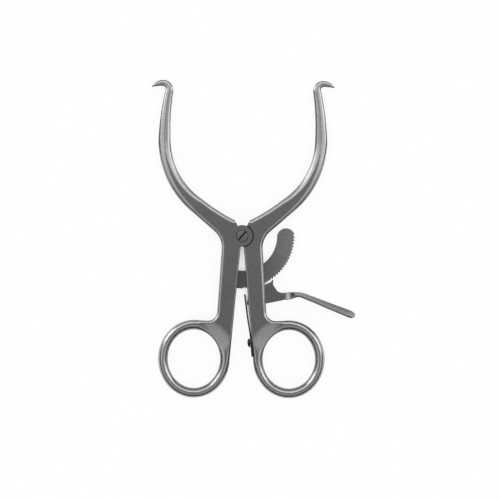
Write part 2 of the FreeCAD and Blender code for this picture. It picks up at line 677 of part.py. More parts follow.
ratchet_bar = doc.addObject("PartDesign::Body", "ratchet_bar")
BAR_LOW = HALF + " - Sizes.bar_thickness / 2"
TOOTH_SLOPE = 0.93  # share of the pitch that the gentle slope takes
BAR_MIDDLE = "(Sizes.bar_inner_radius + Sizes.bar_outer_radius) / 2"
primitive("PartDesign::AdditiveCylinder", "bar_sweep", {
    "Radius": "Sizes.bar_outer_radius",
    "Angle": "Sizes.bar_root_angle + Sizes.bar_tip_angle",
    "Height": "Sizes.bar_thickness",
    "Placement.Base.z": BAR_LOW,
}, FreeCAD.Rotation(UPRIGHT, -90 - size("bar_root_angle")), ratchet_bar)
primitive("PartDesign::SubtractiveCylinder", "bar_hollow", {
    "Radius": "Sizes.bar_inner_radius",
    "Height": "Sizes.plate_thickness",
}, owner=ratchet_bar)
primitive("PartDesign::AdditiveCylinder", "bar_tip", {
    "Radius": "(Sizes.bar_outer_radius - Sizes.bar_inner_radius) / 2",
    "Height": "Sizes.bar_thickness",
    "Placement.Base.x": BAR_MIDDLE + " * sin(Sizes.bar_tip_angle * 1 deg)",
    "Placement.Base.y": "-" + BAR_MIDDLE + " * cos(Sizes.bar_tip_angle * 1 deg)",
    "Placement.Base.z": BAR_LOW,
}, owner=ratchet_bar)
foot_box("PartDesign::AdditiveBox", "bar_foot", "0", "0", ratchet_bar)


def polar(angle, radius):
    """Expressions for a point below the joint at an angle in degrees and a radius."""
    return f"{radius} * sin(({angle}) * 1 deg)", f"-({radius}) * cos(({angle}) * 1 deg)"


gap_outline = sketch_on(ratchet_bar, "tooth_gap_outline", "XY_Plane", {
    "AttachmentOffset.Base.z": HALF + " + Sizes.bar_thickness",
})
polygon(gap_outline, [
    polar("Sizes.last_crest_angle", "Sizes.bar_outer_radius"),
    polar("Sizes.last_crest_angle - Sizes.tooth_rake", "(Sizes.bar_outer_radius - Sizes.tooth_depth)"),
    polar(f"Sizes.last_crest_angle - {TOOTH_SLOPE} * Sizes.tooth_pitch", "Sizes.bar_outer_radius"),
    polar("Sizes.last_crest_angle - 0.5 * Sizes.tooth_pitch", "(Sizes.bar_outer_radius + 1)"),
])
tooth_gap = ratchet_bar.newObject("PartDesign::Pocket", "tooth_gap")
tooth_gap.Profile = gap_outline
bound(tooth_gap, {"Length": "2 * Sizes.bar_thickness"})
teeth = ratchet_bar.newObject("PartDesign::PolarPattern", "teeth")
teeth.Originals = [tooth_gap]
teeth.Axis = (gap_outline, ["N_Axis"])
teeth.Reversed = True
bound(teeth, {"Angle": "(Sizes.tooth_count - 1) * Sizes.tooth_pitch", "Occurrences": "Sizes.tooth_count"})
ratchet_bar.Tip = teeth
rivets("PartDesign::SubtractiveCylinder", "foot_hole", "Sizes.seat_clearance", "Sizes.plate_thickness", "0",
       ratchet_bar)

# Release lever


def pin_place():
    """Lever pin's axis in the plan."""
    return below(size("pin_angle"), size("bar_outer_radius") + size("pin_below_crest"))


def tail_place():
    """Centre of the lever's rounded tail in the plan."""
    return pin_place() - Vector(size("tail_reach"), size("tail_drop"), 0)


def pawl_point(angle, radius):
    """Point of the pawl, given where it lies when the pawl is home, turned to this pose."""
    back = FreeCAD.Rotation(UPRIGHT, -size("pawl_lift"))
    return pin_place() + back.multVec(below(angle, radius) - pin_place())


def round_end_corner(before, after, centre, radius):
    """Corner between two outline points, such that both sides touch a circle."""
    to_centre, back = centre - before, centre - after
    first = math.degrees(math.asin(radius / to_centre.Length))
    second = math.degrees(math.asin(radius / back.Length))
    side = FreeCAD.Rotation(UPRIGHT, -first).multVec(to_centre)
    other = FreeCAD.Rotation(UPRIGHT, second).multVec(back)
    return crossing(before, side, after, other)


def release_lever_shape():
    """Flat plate with pawl, hub and tail, run out into a twisted finger strip."""
    pin, tail = pin_place(), tail_place()
    neck = pin + Vector(size("neck_reach"), -size("neck_drop"), 0)
    crest, depth, gap = size("bar_outer_radius"), size("tooth_depth"), size("pawl_clearance")
    gap_angle = math.degrees(gap / crest)
    steep = size("last_crest_angle") - size("pawl_tooth") * size("tooth_pitch")
    tip = pawl_point(steep - size("tooth_rake") - gap_angle, crest - depth + gap)
    back = pawl_point(steep - gap_angle * 1.2, crest + gap)
    heel_angle = steep - size("tooth_pitch") * TOOTH_SLOPE
    heel = pawl_point(heel_angle, crest + gap * 1.6)
    hug_middle = pawl_point((heel_angle + size("hug_angle")) / 2, crest + gap * 1.6)
    hug_end = pawl_point(size("hug_angle"), crest + gap * 1.6)
    back_angle = steep - size("pawl_back_angle")
    half_neck = size("neck_width") / 2
    hub, round_tail = size("hub_radius"), size("tail_radius")
    hub_left = pin + Vector(-hub * 1.1, hub * 0.9, 0)
    hub_below = pin + Vector(hub * 0.8, -hub * 1.8, 0)
    outline = rounded_outline([
        (tip, 0),
        (heel, None, hug_middle),
        (hug_end, 0),
        (hub_left, hub * 0.8),
        (round_end_corner(hub_left, hub_below, tail, round_tail), round_tail),
        (hub_below, hub * 0.7),
        (neck + Vector(0, -half_neck, 0), 0),
        (neck + Vector(0, half_neck, 0), 0),
        (below(back_angle, crest + size("pawl_height")), size("pawl_hollow")),
        (below(back_angle, crest + size("pawl_shoulder_height")), size("pawl_shoulder")),
        (back, 0),
    ])
    body = plate(outline, size("bar_thickness"))
    hole = Part.makeCylinder(size("pin_radius") + size("running_clearance"), size("plate_thickness"), pin)
    return body.cut(hole).fuse(finger_strip(neck))


def finger_strip(neck):
    """Strip that leaves the neck flat, twists, and widens to a rounded end."""
    knee = neck + Vector(size("twist_length"), size("twist_rise"), 0)
    along = across(size("strip_slope"))
    end = knee + along * size("strip_length")
    rise = Vector(-along.y, along.x, 0)
    path = Part.BSplineCurve()
    path.interpolate([
        neck - Vector(size("strip_root"), 0, 0),
        (neck + knee) / 2,
        knee,
        knee + along * size("strip_bow_place") + rise * size("strip_bow"),
        (knee + end + rise * size("strip_bow")) / 2,
        end,
    ], FinalTangent=along)
    length = path.length()
    round_end = size("strip_width_end") / 2
    stations = [(length - round_end) * i / STRIP_STEPS for i in range(STRIP_STEPS + 1)]
    wires = [strip_section(path, distance, neck.x, knee.x, end.x) for distance in stations]
    for i in range(1, END_STEPS + 1):
        angle = math.radians(84 * i / END_STEPS)
        distance = length - round_end * (1 - math.sin(angle))
        wires.append(strip_section(path, distance, neck.x, knee.x, end.x, math.cos(angle)))
    return Part.makeLoft(wires, True, False)


def strip_section(path, distance, neck_x, knee_x, end_x, narrowing=1.0):
    """Section of the finger strip at a distance along its middle line."""
    parameter = path.parameterAtDistance(distance, path.FirstParameter)
    point, tangent = path.value(parameter), path.tangent(parameter)[0]
    twisted = min(1.0, max(0.0, (point.x - neck_x) / (knee_x - neck_x)))
    smooth = twisted * twisted * (3 - 2 * twisted)
    outward = min(1.0, max(0.0, (point.x - knee_x) / (end_x - knee_x)))
    width = taper(size("neck_width") - 0.1, size("strip_width_start"), smooth)
    width += (size("strip_width_end") - size("strip_width_start")) * outward
    width *= narrowing
    turn = FreeCAD.Rotation(tangent, -size("strip_twist") * smooth)
    side = turn.multVec(Vector(tangent.y, -tangent.x, 0).normalize())
    centre = raised(point, MIDDLE + size("strip_lift") * smooth)
    thick = size("strip_thickness")
    corner = size("strip_edge")
    return section(centre, side, tangent.cross(side), width, thick, min(corner, width * 0.4), corner, steps=1)


release_lever = doc.addObject("Part::Feature", "release_lever")
release_lever.Shape = release_lever_shape()

# Leaf spring and its screw


def leaf_spring_shape():
    """Flat foot against the right shank, then a blade that bends away to the lever's tail."""
    thick, seat = size("spring_thickness"), size("spring_seat")
    foot_low, foot_high = size("spring_foot_low"), size("spring_foot_high")
    tail = tail_place()
    tail_station = -tail.dot(heading(-size("shank_lean")))
    tail_offset = size("shank_face_offset") - tail.dot(LEAN_AXIS)
    touch = tail_offset + size("tail_radius") + size("spring_tail_gap")
    up_face = on_inner_face(0) - on_inner_face(1)

    def edge(offset):
        """One long side of the strip: its straight foot, then its bent blade."""
        points = [
            on_inner_face(foot_high, offset + seat),
            on_inner_face((foot_high + tail_station) / 2, offset + touch * 0.6),
            on_inner_face(tail_station, offset + touch),
            on_inner_face(tail_station - size("spring_tip_rise"), offset + touch * 1.14),
        ]
        blade = Part.BSplineCurve()
        blade.interpolate(points, InitialTangent=up_face, FinalTangent=points[3] - points[2])
        low = on_inner_face(foot_low, offset + seat)
        return [Part.makeLine(low, points[0]), blade.toShape()], low, points[3]

    near, near_low, near_tip = edge(0)
    far, far_low, far_tip = edge(thick)
    wire = Part.Wire(near + [Part.makeLine(near_tip, far_tip)] + far[::-1] + [Part.makeLine(far_low, near_low)])
    blade = plate(wire, size("spring_width"))
    start = raised(on_inner_face(size("spring_screw_station"), 2), MIDDLE)
    hole = Part.makeCylinder(size("spring_screw_radius") + size("running_clearance"), 4, start, LEAN_AXIS)
    return blade.cut(hole)


leaf_spring = doc.addObject("Part::Feature", "leaf_spring")
leaf_spring.Shape = leaf_spring_shape()

SPRING_STACK = "- Sizes.spring_seat - Sizes.spring_thickness - Sizes.running_clearance"
spring_screw = turned_body("spring_screw", [
    ("0", "-Sizes.spring_head_height"),
    ("Sizes.spring_head_radius * 0.5", "-Sizes.spring_head_height"),
    ("Sizes.spring_head_radius * 0.85", "-Sizes.spring_head_height * 0.7"),
    ("Sizes.spring_head_radius", "-Sizes.spring_head_height * 0.3"),
    ("Sizes.spring_head_radius", "0"),
    ("Sizes.spring_screw_radius", "0"),
    ("Sizes.spring_screw_radius", "Sizes.spring_screw_length"),
    ("0", "Sizes.spring_screw_length"),
], {
    "Placement.Base.x": SCREW_STATION_X.format(SPRING_STACK),
    "Placement.Base.y": SCREW_STATION_Y.format(SPRING_STACK),
    "Placement.Base.z": HALF,
})
spring_screw.Placement = FreeCAD.Placement(Vector(), INTO_SHANK)
driver_slot(spring_screw, "Sizes.spring_slot_width", "Sizes.spring_slot_depth",
            "-Sizes.spring_head_height", "(Sizes.spring_head_radius * 1.5)", "90", from_below=True)

doc.recompute()

# Check every object, then write one file for each sub-part

PARTS = [left_arm, right_arm, joint_screw, ratchet_bar, bar_rivets, release_lever, lever_pin, leaf_spring,
         spring_screw]
failed = [item.Name for item in doc.Objects if "Invalid" in item.State or "Error" in item.State]
if failed:
    raise RuntimeError(f"these objects failed to build: {failed}")
os.makedirs("parts", exist_ok=True)
for part in PARTS:
    if part.Shape.isNull() or not part.Shape.isValid():
        raise RuntimeError(f"{part.Label} has no valid shape")
    part.Shape.exportStep(f"parts/{part.Label}.step")
    print(f"{part.Label}: {len(part.Shape.Solids)} solids, {part.Shape.Volume:.2f} mm3")
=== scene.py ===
"""Looks of a self-retaining retractor lying open on a white table, seen from straight above.

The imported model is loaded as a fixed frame. Each sub-assembly is a class that keeps its sizes in
millimetres, builds its pieces in that frame and dresses them in satin stainless steel.
A place in the plan is a complex number: its real part is X and its imaginary part is Y.
"""
from __future__ import annotations

import cmath
import logging
import math
from dataclasses import dataclass, field
from enum import Enum

import bmesh
import bpy
import numpy as np
from mathutils import Matrix, Vector
from mathutils.geometry import delaunay_2d_cdt

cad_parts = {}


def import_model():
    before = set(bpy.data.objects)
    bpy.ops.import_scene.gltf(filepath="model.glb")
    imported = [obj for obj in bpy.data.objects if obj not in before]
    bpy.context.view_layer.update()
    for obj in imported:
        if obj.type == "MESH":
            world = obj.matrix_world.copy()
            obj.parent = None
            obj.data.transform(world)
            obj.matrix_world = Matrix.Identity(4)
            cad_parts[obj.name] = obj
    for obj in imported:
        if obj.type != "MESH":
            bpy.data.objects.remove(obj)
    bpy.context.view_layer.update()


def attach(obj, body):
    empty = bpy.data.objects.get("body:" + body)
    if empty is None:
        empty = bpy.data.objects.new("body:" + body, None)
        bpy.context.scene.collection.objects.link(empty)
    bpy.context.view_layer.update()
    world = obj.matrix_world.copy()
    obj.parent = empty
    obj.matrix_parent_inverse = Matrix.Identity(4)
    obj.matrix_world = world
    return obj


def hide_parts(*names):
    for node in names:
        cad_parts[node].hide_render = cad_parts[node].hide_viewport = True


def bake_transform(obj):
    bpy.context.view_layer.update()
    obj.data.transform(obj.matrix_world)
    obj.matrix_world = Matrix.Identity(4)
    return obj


LOG = logging.getLogger("retractor")
MM = 0.001
PLATE = 5.0  # thickness of the arms' flat parts
MIDDLE = PLATE / 2  # height of the instrument's middle plane above the table
SHANK_LEAN = 5.2  # degrees between each shank's inner face and the centre line
FACE_OFFSET = 0.25  # distance of the inner face's plane from the joint axis
FIT = 0.02  # gap round what is fast in its hole
TURNING_FIT = 0.05  # gap round what turns in its hole
PAST = 1.0  # how far a cutter runs out of a piece
MERGE = 0.0005  # points that lie nearer than this are one point
COLOUR_A, COLOUR_B, COLOUR_RESULT = 6, 7, 2  # numbers of a Mix node's colour sockets
LEVEL_A, LEVEL_B = 2, 3  # numbers of a Mix node's number sockets
Line = tuple[list[complex], np.ndarray]  # points of an edge, and a row of rim values for each


class Body(Enum):
    """Moving body that a piece rides on."""

    RIGHT = "right_arm"
    LEFT = "left_arm"
    LEVER = "release_lever"


class Slot(Enum):
    """Material slot of the record that a piece takes its finish from."""

    ARM = "arm_steel"
    BAR = "bar_steel"
    LEVER = "lever_steel"
    SPRING = "spring_steel"
    SCREW = "screw_steel"


def linear(code: str) -> tuple[float, float, float, float]:
    """Turns an sRGB hex colour into linear values.

    Args:
        code: Six hex digits.

    Returns:
        Red, green, blue and an alpha of 1.
    """
    values = []
    for start in (0, 2, 4):
        share = int(code[start:start + 2], 16) / 255
        values.append(share / 12.92 if share <= 0.04045 else ((share + 0.055) / 1.055) ** 2.4)
    return (values[0], values[1], values[2], 1.0)


def between(start: float, end: float, share: float) -> float:
    """Value at a share of the way from start to end."""
    return start + (end - start) * share


def add_node(tree: bpy.types.NodeTree, kind: str, links: dict | None = None,
             **settings: object) -> bpy.types.Node:
    """Adds a node with its settings and links.

    Args:
        tree: Tree that gets the node.
        kind: The node's type name.
        links: Input name or number, and the output or the value that it gets.
        settings: Attributes of the node.

    Returns:
        The new node.
    """
    node = tree.nodes.new(kind)
    for name, value in settings.items():
        setattr(node, name, value)
    for name, source in (links or {}).items():
        if isinstance(source, bpy.types.NodeSocket):
            tree.links.new(source, node.inputs[name])
        else:
            node.inputs[name].default_value = source
    return node


@dataclass(frozen=True)
class Noise:
    """Irregular pattern: its size in millimetres, its number of octaves and how rough they are."""

    size_mm: float
    octaves: float
    roughness: float


@dataclass(frozen=True)
class SatinSteel:
    """Stainless steel blasted with glass beads to a satin that spreads reflections softly.

    The grain is that of 0.1 mm beads. It is drawn at 0.25 mm so that it shows at all, and the
    mottling that handling leaves on it is drawn at 0.9 mm. The clouds are uneven blasting.
    """

    name: str
    colour: str
    roughness: float
    roughness_spread: tuple[float, float] = (-0.04, 0.05)
    grain: Noise = Noise(0.25, 3.0, 0.6)
    grain_reach: tuple[float, float] = (0.3, 0.7)
    grain_depth_mm: float = 0.002
    mottle: Noise = Noise(0.9, 2.0, 0.5)
    mottle_share: float = 0.22
    cloud: Noise = Noise(14.0, 4.0, 0.55)
    cloud_share: float = 0.1
    # Painted shade: below a level of 1, the colour is darkened along X, fully up to the first
    # distance and fading out by the second.
    painted_shade_level: float = 1.0
    painted_shade_full_below_mm: float = 5.0
    painted_shade_gone_above_mm: float = 22.0

    def material(self) -> bpy.types.Material:
        """Builds the node material.

        Returns:
            The material, ready for a mesh.
        """
        made = bpy.data.materials.new(self.name)
        made.use_nodes = True
        tree = made.node_tree
        tree.nodes.clear()
        place = add_node(tree, "ShaderNodeTexCoord").outputs["Object"]
        grain, mottle, cloud = (
            add_node(tree, "ShaderNodeTexNoise", {
                "Vector": place, "Scale": 1 / (noise.size_mm * MM), "Detail": noise.octaves,
                "Roughness": noise.roughness,
            }).outputs["Fac"]
            for noise in (self.grain, self.mottle, self.cloud)
        )
        dark, light = (
            tuple(min(1.0, value * (1 + share)) for value in linear(self.colour)[:3]) + (1.0,)
            for share in (-self.cloud_share, self.cloud_share)
        )
        clouded = add_node(tree, "ShaderNodeMix", {0: cloud, COLOUR_A: dark, COLOUR_B: light},
                           data_type="RGBA")
        mottled = add_node(tree, "ShaderNodeMapRange", {
            "Value": mottle, "To Min": 1 - self.mottle_share, "To Max": 1 + self.mottle_share,
        })
        # Painted shade: the colour darkens towards low X, standing in for the shade between and
        # under the shanks.
        across_x = add_node(tree, "ShaderNodeSeparateXYZ", {0: place}).outputs["X"]
        painted_shade_along_x = add_node(tree, "ShaderNodeMapRange", {
            "Value": across_x, "From Min": self.painted_shade_full_below_mm * MM,
            "From Max": self.painted_shade_gone_above_mm * MM, "To Min": self.painted_shade_level, "To Max": 1.0,
        })
        shade = add_node(tree, "ShaderNodeMath", {
            0: painted_shade_along_x.outputs["Result"], 1: mottled.outputs["Result"],
        }, operation="MULTIPLY")
        # Colour with its uneven blasting, its handling mottle and the painted shade.
        wear_and_painted_shade = add_node(tree, "ShaderNodeMix", {
            0: 1.0, COLOUR_A: clouded.outputs[COLOUR_RESULT], COLOUR_B: shade.outputs[0],
        }, data_type="RGBA", blend_type="MULTIPLY")
        rough = add_node(tree, "ShaderNodeMapRange", {
            "Value": grain, "From Min": self.grain_reach[0], "From Max": self.grain_reach[1],
            "To Min": self.roughness + self.roughness_spread[0],
            "To Max": self.roughness + self.roughness_spread[1],
        })
        bump = add_node(tree, "ShaderNodeBump", {
            "Height": grain, "Strength": 1.0, "Distance": self.grain_depth_mm * MM,
        })
        shader = add_node(tree, "ShaderNodeBsdfPrincipled", {
            "Base Color": wear_and_painted_shade.outputs[COLOUR_RESULT], "Metallic": 1.0,
            "Roughness": rough.outputs["Result"], "Normal": bump.outputs["Normal"],
        })
        add_node(tree, "ShaderNodeOutputMaterial", {"Surface": shader.outputs["BSDF"]})
        return made


FINISHES = {
    # Blasted all over: broad, soft highlights and an even mid grey on the flats.
    Slot.ARM: SatinSteel("satin_blasted_stainless_arms", "C2C3C4", 0.22),
    # Ground, then blasted: a little duller, with painted shade that darkens it where it runs
    # between and under the shanks, fading out towards its tip.
    Slot.BAR: SatinSteel("satin_stainless_ratchet_bar", "D0D1D2", 0.27, painted_shade_level=0.45),
    # Hardened for the pawl: the same satin, a shade darker.
    Slot.LEVER: SatinSteel("satin_stainless_lever", "B0B1B2", 0.24),
    # Tempered strip and its blackened screw: dark, with weak highlights.
    Slot.SPRING: SatinSteel("spring_tempered_stainless", "4E4F52", 0.3),
    # Turned and lightly blasted: nearly the grey of the arms.
    Slot.SCREW: SatinSteel("turned_stainless_screws", "BCBDBE", 0.24),
}
# Walls of holes and slots that no polish reaches: dull, and painted dark for the shade inside them.
SHADED_RECESSES = SatinSteel("unpolished_stainless_painted_shade_in_recesses", "3A3B3D", 0.5)


@dataclass
class Workshop:
    """Shared materials and the steps that every piece goes through."""

    materials: dict[str, bpy.types.Material] = field(default_factory=dict)

    def finish(self, steel: SatinSteel) -> bpy.types.Material:
        """Gives the material of a finish, which is built once.

        Args:
            steel: The finish.

        Returns:
            Its material.
        """
        if steel.name not in self.materials:
            self.materials[steel.name] = steel.material()
        return self.materials[steel.name]

    def dress(self, piece: bpy.types.Object, slot: Slot, body: Body | None, node: str) -> None:
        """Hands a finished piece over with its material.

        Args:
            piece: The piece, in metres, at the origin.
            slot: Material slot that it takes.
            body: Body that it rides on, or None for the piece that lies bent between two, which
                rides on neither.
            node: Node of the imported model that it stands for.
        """
        if not len(piece.data.materials):
            piece.data.materials.append(self.finish(FINISHES[slot]))
        if body:
            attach(piece, body.value)
        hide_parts(node)
        LOG.info("%s: %d faces, stands for %s", piece.name, len(piece.data.polygons), node)

    def solid(self, name: str, points: np.ndarray, faces: list,
              sharp: float = 40.0) -> bpy.types.Object:
        """Makes an object of points in millimetres.

        Args:
            name: Name of the object.
            points: One row of X, Y and Z for each point.
            faces: Point numbers of each face.
            sharp: Angle in degrees from which an edge stays sharp.

        Returns:
            The object, in metres, with its faces turned outwards.
        """
        data = bpy.data.meshes.new(name)
        data.from_pydata((np.asarray(points) * MM).tolist(), [], faces)
        mesh = bmesh.new()
        mesh.from_mesh(data)
        bmesh.ops.remove_doubles(mesh, verts=mesh.verts, dist=MERGE * MM)
        loose = [point for point in mesh.verts if not point.link_faces]
        bmesh.ops.delete(mesh, geom=loose, context="VERTS")
        bmesh.ops.recalc_face_normals(mesh, faces=mesh.faces)
        mesh.to_mesh(data)
        mesh.free()
        piece = bpy.data.objects.new(name, data)
        bpy.context.collection.objects.link(piece)
        self.smooth(piece, sharp)
        return piece

    def smooth(self, piece: bpy.types.Object, sharp: float) -> None:
        """Shades a piece smoothly, apart from edges of at least so many degrees."""
        piece.data.shade_smooth()
        piece.data.set_sharp_from_angle(angle=math.radians(sharp))

    def turned(self, name: str, profile: list[tuple[float, float]], place: Matrix | None = None,
               segments: int = 64, sharp: float = 30.0) -> bpy.types.Object:
        """Turns a profile about an axis.

        Args:
            name: Name of the object.
            profile: Radius and height of each corner, from the axis round to the axis.
            place: Where its axis stands, in millimetres. It is upright at the origin without.
            segments: Flats round the axis.
            sharp: Angle in degrees from which an edge stays sharp.

        Returns:
            The closed solid.
        """
        place = place or Matrix.Identity(4)
        turns = [math.tau * k / segments for k in range(segments)]
        points = [place @ Vector((radius * math.cos(turn), radius * math.sin(turn), height))
                  for radius, height in profile for turn in turns]
        return self.solid(name, np.array(points), belts(len(profile), segments), sharp)

    def block(self, name: str, place: Matrix, low: tuple[float, float, float],
              high: tuple[float, float, float]) -> bpy.types.Object:
        """Makes a square block between two corners.

        Args:
            name: Name of the object.
            place: Its own axes, in millimetres.
            low: Its lowest X, Y and Z on those axes.
            high: Its highest X, Y and Z on those axes.

        Returns:
            The closed solid.
        """
        points = [place @ Vector((x, y, z)) for z in (low[2], high[2])
                  for y in (low[1], high[1]) for x in (low[0], high[0])]
        faces = [(0, 2, 3, 1), (4, 5, 7, 6), (0, 1, 5, 4), (2, 6, 7, 3), (0, 4, 6, 2), (1, 3, 7, 5)]
        return self.solid(name, np.array(points), faces)

    def machine(self, piece: bpy.types.Object, slot: Slot, cutters: list[bpy.types.Object],
                added: bpy.types.Object | None = None, sharp: float = 40.0) -> None:
        """Cuts openings into a piece, whose walls stay unpolished and are painted dark for the
        shade inside them.

        Args:
            piece: The blank, which gets the new mesh.
            slot: Material slot of the blank and of what is welded on.
            cutters: What to take away, each a closed solid. They are deleted afterwards.
            added: A solid to weld on first, deleted afterwards.
            sharp: Angle in degrees from which an edge stays sharp.
        """
        tools = ([added] if added else []) + cutters
        for part in [piece, *tools]:
            part.data.materials.clear()
            # Cutter faces get the recess finish: dull, and painted dark for the shade inside
            # openings.
            steel = SHADED_RECESSES if part in cutters else FINISHES[slot]
            part.data.materials.append(self.finish(steel))
        for tool in tools:
            step = piece.modifiers.new(tool.name, "BOOLEAN")
            step.material_mode = "TRANSFER"
            step.operation = "UNION" if tool is added else "DIFFERENCE"
            step.solver = "EXACT"
            step.object = tool
        apply_modifiers(piece)
        for tool in tools:
            bpy.data.objects.remove(tool)
        self.smooth(piece, sharp)


def apply_modifiers(piece: bpy.types.Object) -> None:
    """Turns what a piece's modifiers make into its plain mesh.

    Args:
        piece: The piece, which has no modifier afterwards.
    """
    bpy.context.view_layer.update()
    seen = piece.evaluated_get(bpy.context.evaluated_depsgraph_get())
    result = bpy.data.meshes.new_from_object(seen)
    piece.modifiers.clear()
    piece.data = result


def belts(rows: int, count: int) -> list[tuple[int, ...]]:
    """Joins rows of points that go round a piece.

    Args:
        rows: Number of rows.
        count: Points in each row.

    Returns:
        Point numbers of the faces between each row and the next.
    """
    faces = []
    for start in range(0, (rows - 1) * count, count):
        for k in range(count):
            a, b = start + k, start + (k + 1) % count
            faces.append((a, b, b + count, a + count))
    return faces


class PieceTree:
    """Geometry node tree with named inputs for a piece's sizes and its finish."""

    KINDS = {int: "NodeSocketInt", float: "NodeSocketFloat", Vector: "NodeSocketVector"}

    def __init__(self, name: str, sizes: dict[str, int | float | Vector]) -> None:
        """Opens the tree with one input for each size.

        Args:
            name: Name of the tree.
            sizes: Name and value of each size, in metres and radians.
        """
        self.tree = bpy.data.node_groups.new(name, "GeometryNodeTree")
        ports = self.tree.interface
        ports.new_socket("Geometry", in_out="OUTPUT", socket_type="NodeSocketGeometry")
        self.chosen: dict[str, object] = {}
        for label, value in sizes.items():
            kind = self.KINDS[type(value)]
            socket = ports.new_socket(label, in_out="INPUT", socket_type=kind)
            self.chosen[socket.identifier] = value
        self.finish = ports.new_socket("Finish", in_out="INPUT", socket_type="NodeSocketMaterial")
        self.given = add_node(self.tree, "NodeGroupInput").outputs

    def grow(self, name: str, shape: bpy.types.NodeSocket,
             finish: bpy.types.Material) -> bpy.types.Object:
        """Ends the tree and grows a plain mesh from it.

        Args:
            name: Name of the new object.
            shape: Output that holds the shape.
            finish: Its material.

        Returns:
            The object, with no modifier left.
        """
        real = add_node(self.tree, "GeometryNodeRealizeInstances", {"Geometry": shape})
        dressed = add_node(self.tree, "GeometryNodeSetMaterial", {
            "Geometry": real.outputs["Geometry"], "Material": self.given["Finish"],
        })
        add_node(self.tree, "NodeGroupOutput", {"Geometry": dressed.outputs["Geometry"]})
        piece = bpy.data.objects.new(name, bpy.data.meshes.new(name))
        bpy.context.collection.objects.link(piece)
        nodes = piece.modifiers.new(self.tree.name, "NODES")
        nodes.node_group = self.tree
        for identifier, value in {**self.chosen, self.finish.identifier: finish}.items():
            nodes[identifier] = value
        apply_modifiers(piece)
        return piece


def upright(x: float, y: float, turn: float = 0.0) -> Matrix:
    """Place in the plan with its own axes turned by so many degrees, in millimetres."""
    return Matrix.Translation((x, y, 0)) @ Matrix.Rotation(math.radians(turn), 4, "Z")


@dataclass(frozen=True)
class Rim:
    """How a face falls to its edge, in millimetres: a bevel, then a small steep lip.

    A fullness of 2 makes the bevel a quarter ellipse, and 1 leaves it straight.
    """

    width: float
    fall: float
    fullness: float
    lip: float = 0.0

    def numbers(self) -> np.ndarray:
        """The four values as a row."""
        return np.array([self.width, self.fall, self.fullness, self.lip])


RING_RIM = Rim(2.05, 1.8, 1.65)
WEB_RIM = Rim(0.8, 0.55, 1.8)
SHANK_RIM = Rim(1.15, 0.98, 1.8)
CROTCH_RIM = Rim(1.45, 1.02, 1.7)
STOP_RIM = Rim(1.5, 1.0, 1.6)
GROUND_RIM = Rim(0.28, 0.36, 1.0)
DISC_RIM = Rim(0.16, 0.2, 1.0)
CUT_RIM = Rim(0.01, 0.0, 1.0)
LIP_SLOPE = 0.6  # fall of a lip over its width
NO_LIP = 0.001  # width that stands for a lip of none
THINNEST = 0.04  # half the thickness that is left where two rims meet
WITHIN_BORDERS = 1  # kind of triangulation that leaves out what lies outside its borders
NEARNESS = 1e-5  # distance at which the triangulation takes two points for one


def heading(lean: float) -> complex:
    """Unit step that leans by so many degrees from +Y towards +X."""
    return 1j * cmath.exp(-1j * math.radians(lean))


def across(lean: float) -> complex:
    """Unit step to the right of a heading."""
    return cmath.exp(-1j * math.radians(lean))


def below(angle: float, radius: float) -> complex:
    """Point at a radius from the joint axis, its angle in degrees from straight down to +X."""
    return -1j * radius * cmath.exp(1j * math.radians(angle))


def eased(share: float | np.ndarray) -> float | np.ndarray:
    """Share from 0 to 1 that starts and ends smoothly."""
    return share * share * (3 - 2 * share)


def crossing(point_a: complex, along_a: complex, point_b: complex, along_b: complex) -> complex:
    """Where two lines in the plan cross."""
    gap = point_b - point_a
    return point_a + along_a * ((gap / along_b).imag / (along_a / along_b).imag)


def rounded_corner(before: complex, corner: complex, after: complex, radius: float,
                   steps: int = 24) -> list[complex]:
    """Points of the arc that turns a corner.

    Args:
        before: Any point on the side that comes in.
        corner: Where the two sides would meet.
        after: Any point on the side that goes out.
        radius: Radius of the arc.
        steps: Chords along the arc.

    Returns:
        Points from one tangent point to the other.
    """
    back, onward = (before - corner) / abs(before - corner), (after - corner) / abs(after - corner)
    half = abs(cmath.phase(onward / back)) / 2
    reach = radius / math.tan(half)
    centre = corner + (back + onward) / abs(back + onward) * radius / math.sin(half)
    start, end = corner + back * reach, corner + onward * reach
    sweep = cmath.phase((end - centre) / (start - centre))
    return [centre + (start - centre) * cmath.exp(1j * sweep * k / steps)
            for k in range(steps + 1)]


def through(start: complex, middle: complex, end: complex, count: int = 20) -> list[complex]:
    """Points of a shallow arc from start to end through middle.

    Args:
        start: Its first point.
        middle: Point that it passes.
        end: Its last point.
        count: Number of points.

    Returns:
        The points, with both ends.
    """
    bulge = 2 * middle - (start + end) / 2
    return [start * (1 - t) ** 2 + bulge * 2 * t * (1 - t) + end * t**2
            for t in np.linspace(0, 1, count)]


def marks_along(line: np.ndarray) -> np.ndarray:
    """Distance of each point from the line's start."""
    return np.concatenate([[0], np.cumsum(np.abs(np.diff(line)))])


def points_at(places: np.ndarray, marks: np.ndarray, line: np.ndarray) -> np.ndarray:
    """Points at distances along a line whose own points have these marks."""
    return np.interp(places, marks, line.real) + 1j * np.interp(places, marks, line.imag)


def even_steps(points: list[complex], rims: np.ndarray,
               step: float) -> tuple[np.ndarray, np.ndarray]:
    """Spreads points and their rims evenly along a closed line.

    Args:
        points: Corners of the closed line.
        rims: One row of rim values for each of them.
        step: Distance between the new points.

    Returns:
        The new points as complex numbers and their rows of rim values.
    """
    line = np.array(list(points) + [points[0]])
    rows = np.vstack([rims, rims[:1]])
    marks = marks_along(line)
    places = np.linspace(0, marks[-1], round(marks[-1] / step) + 1)[:-1]
    spread = [np.interp(places, marks, row) for row in rows.T]
    return points_at(places, marks, line), np.stack(spread, 1)


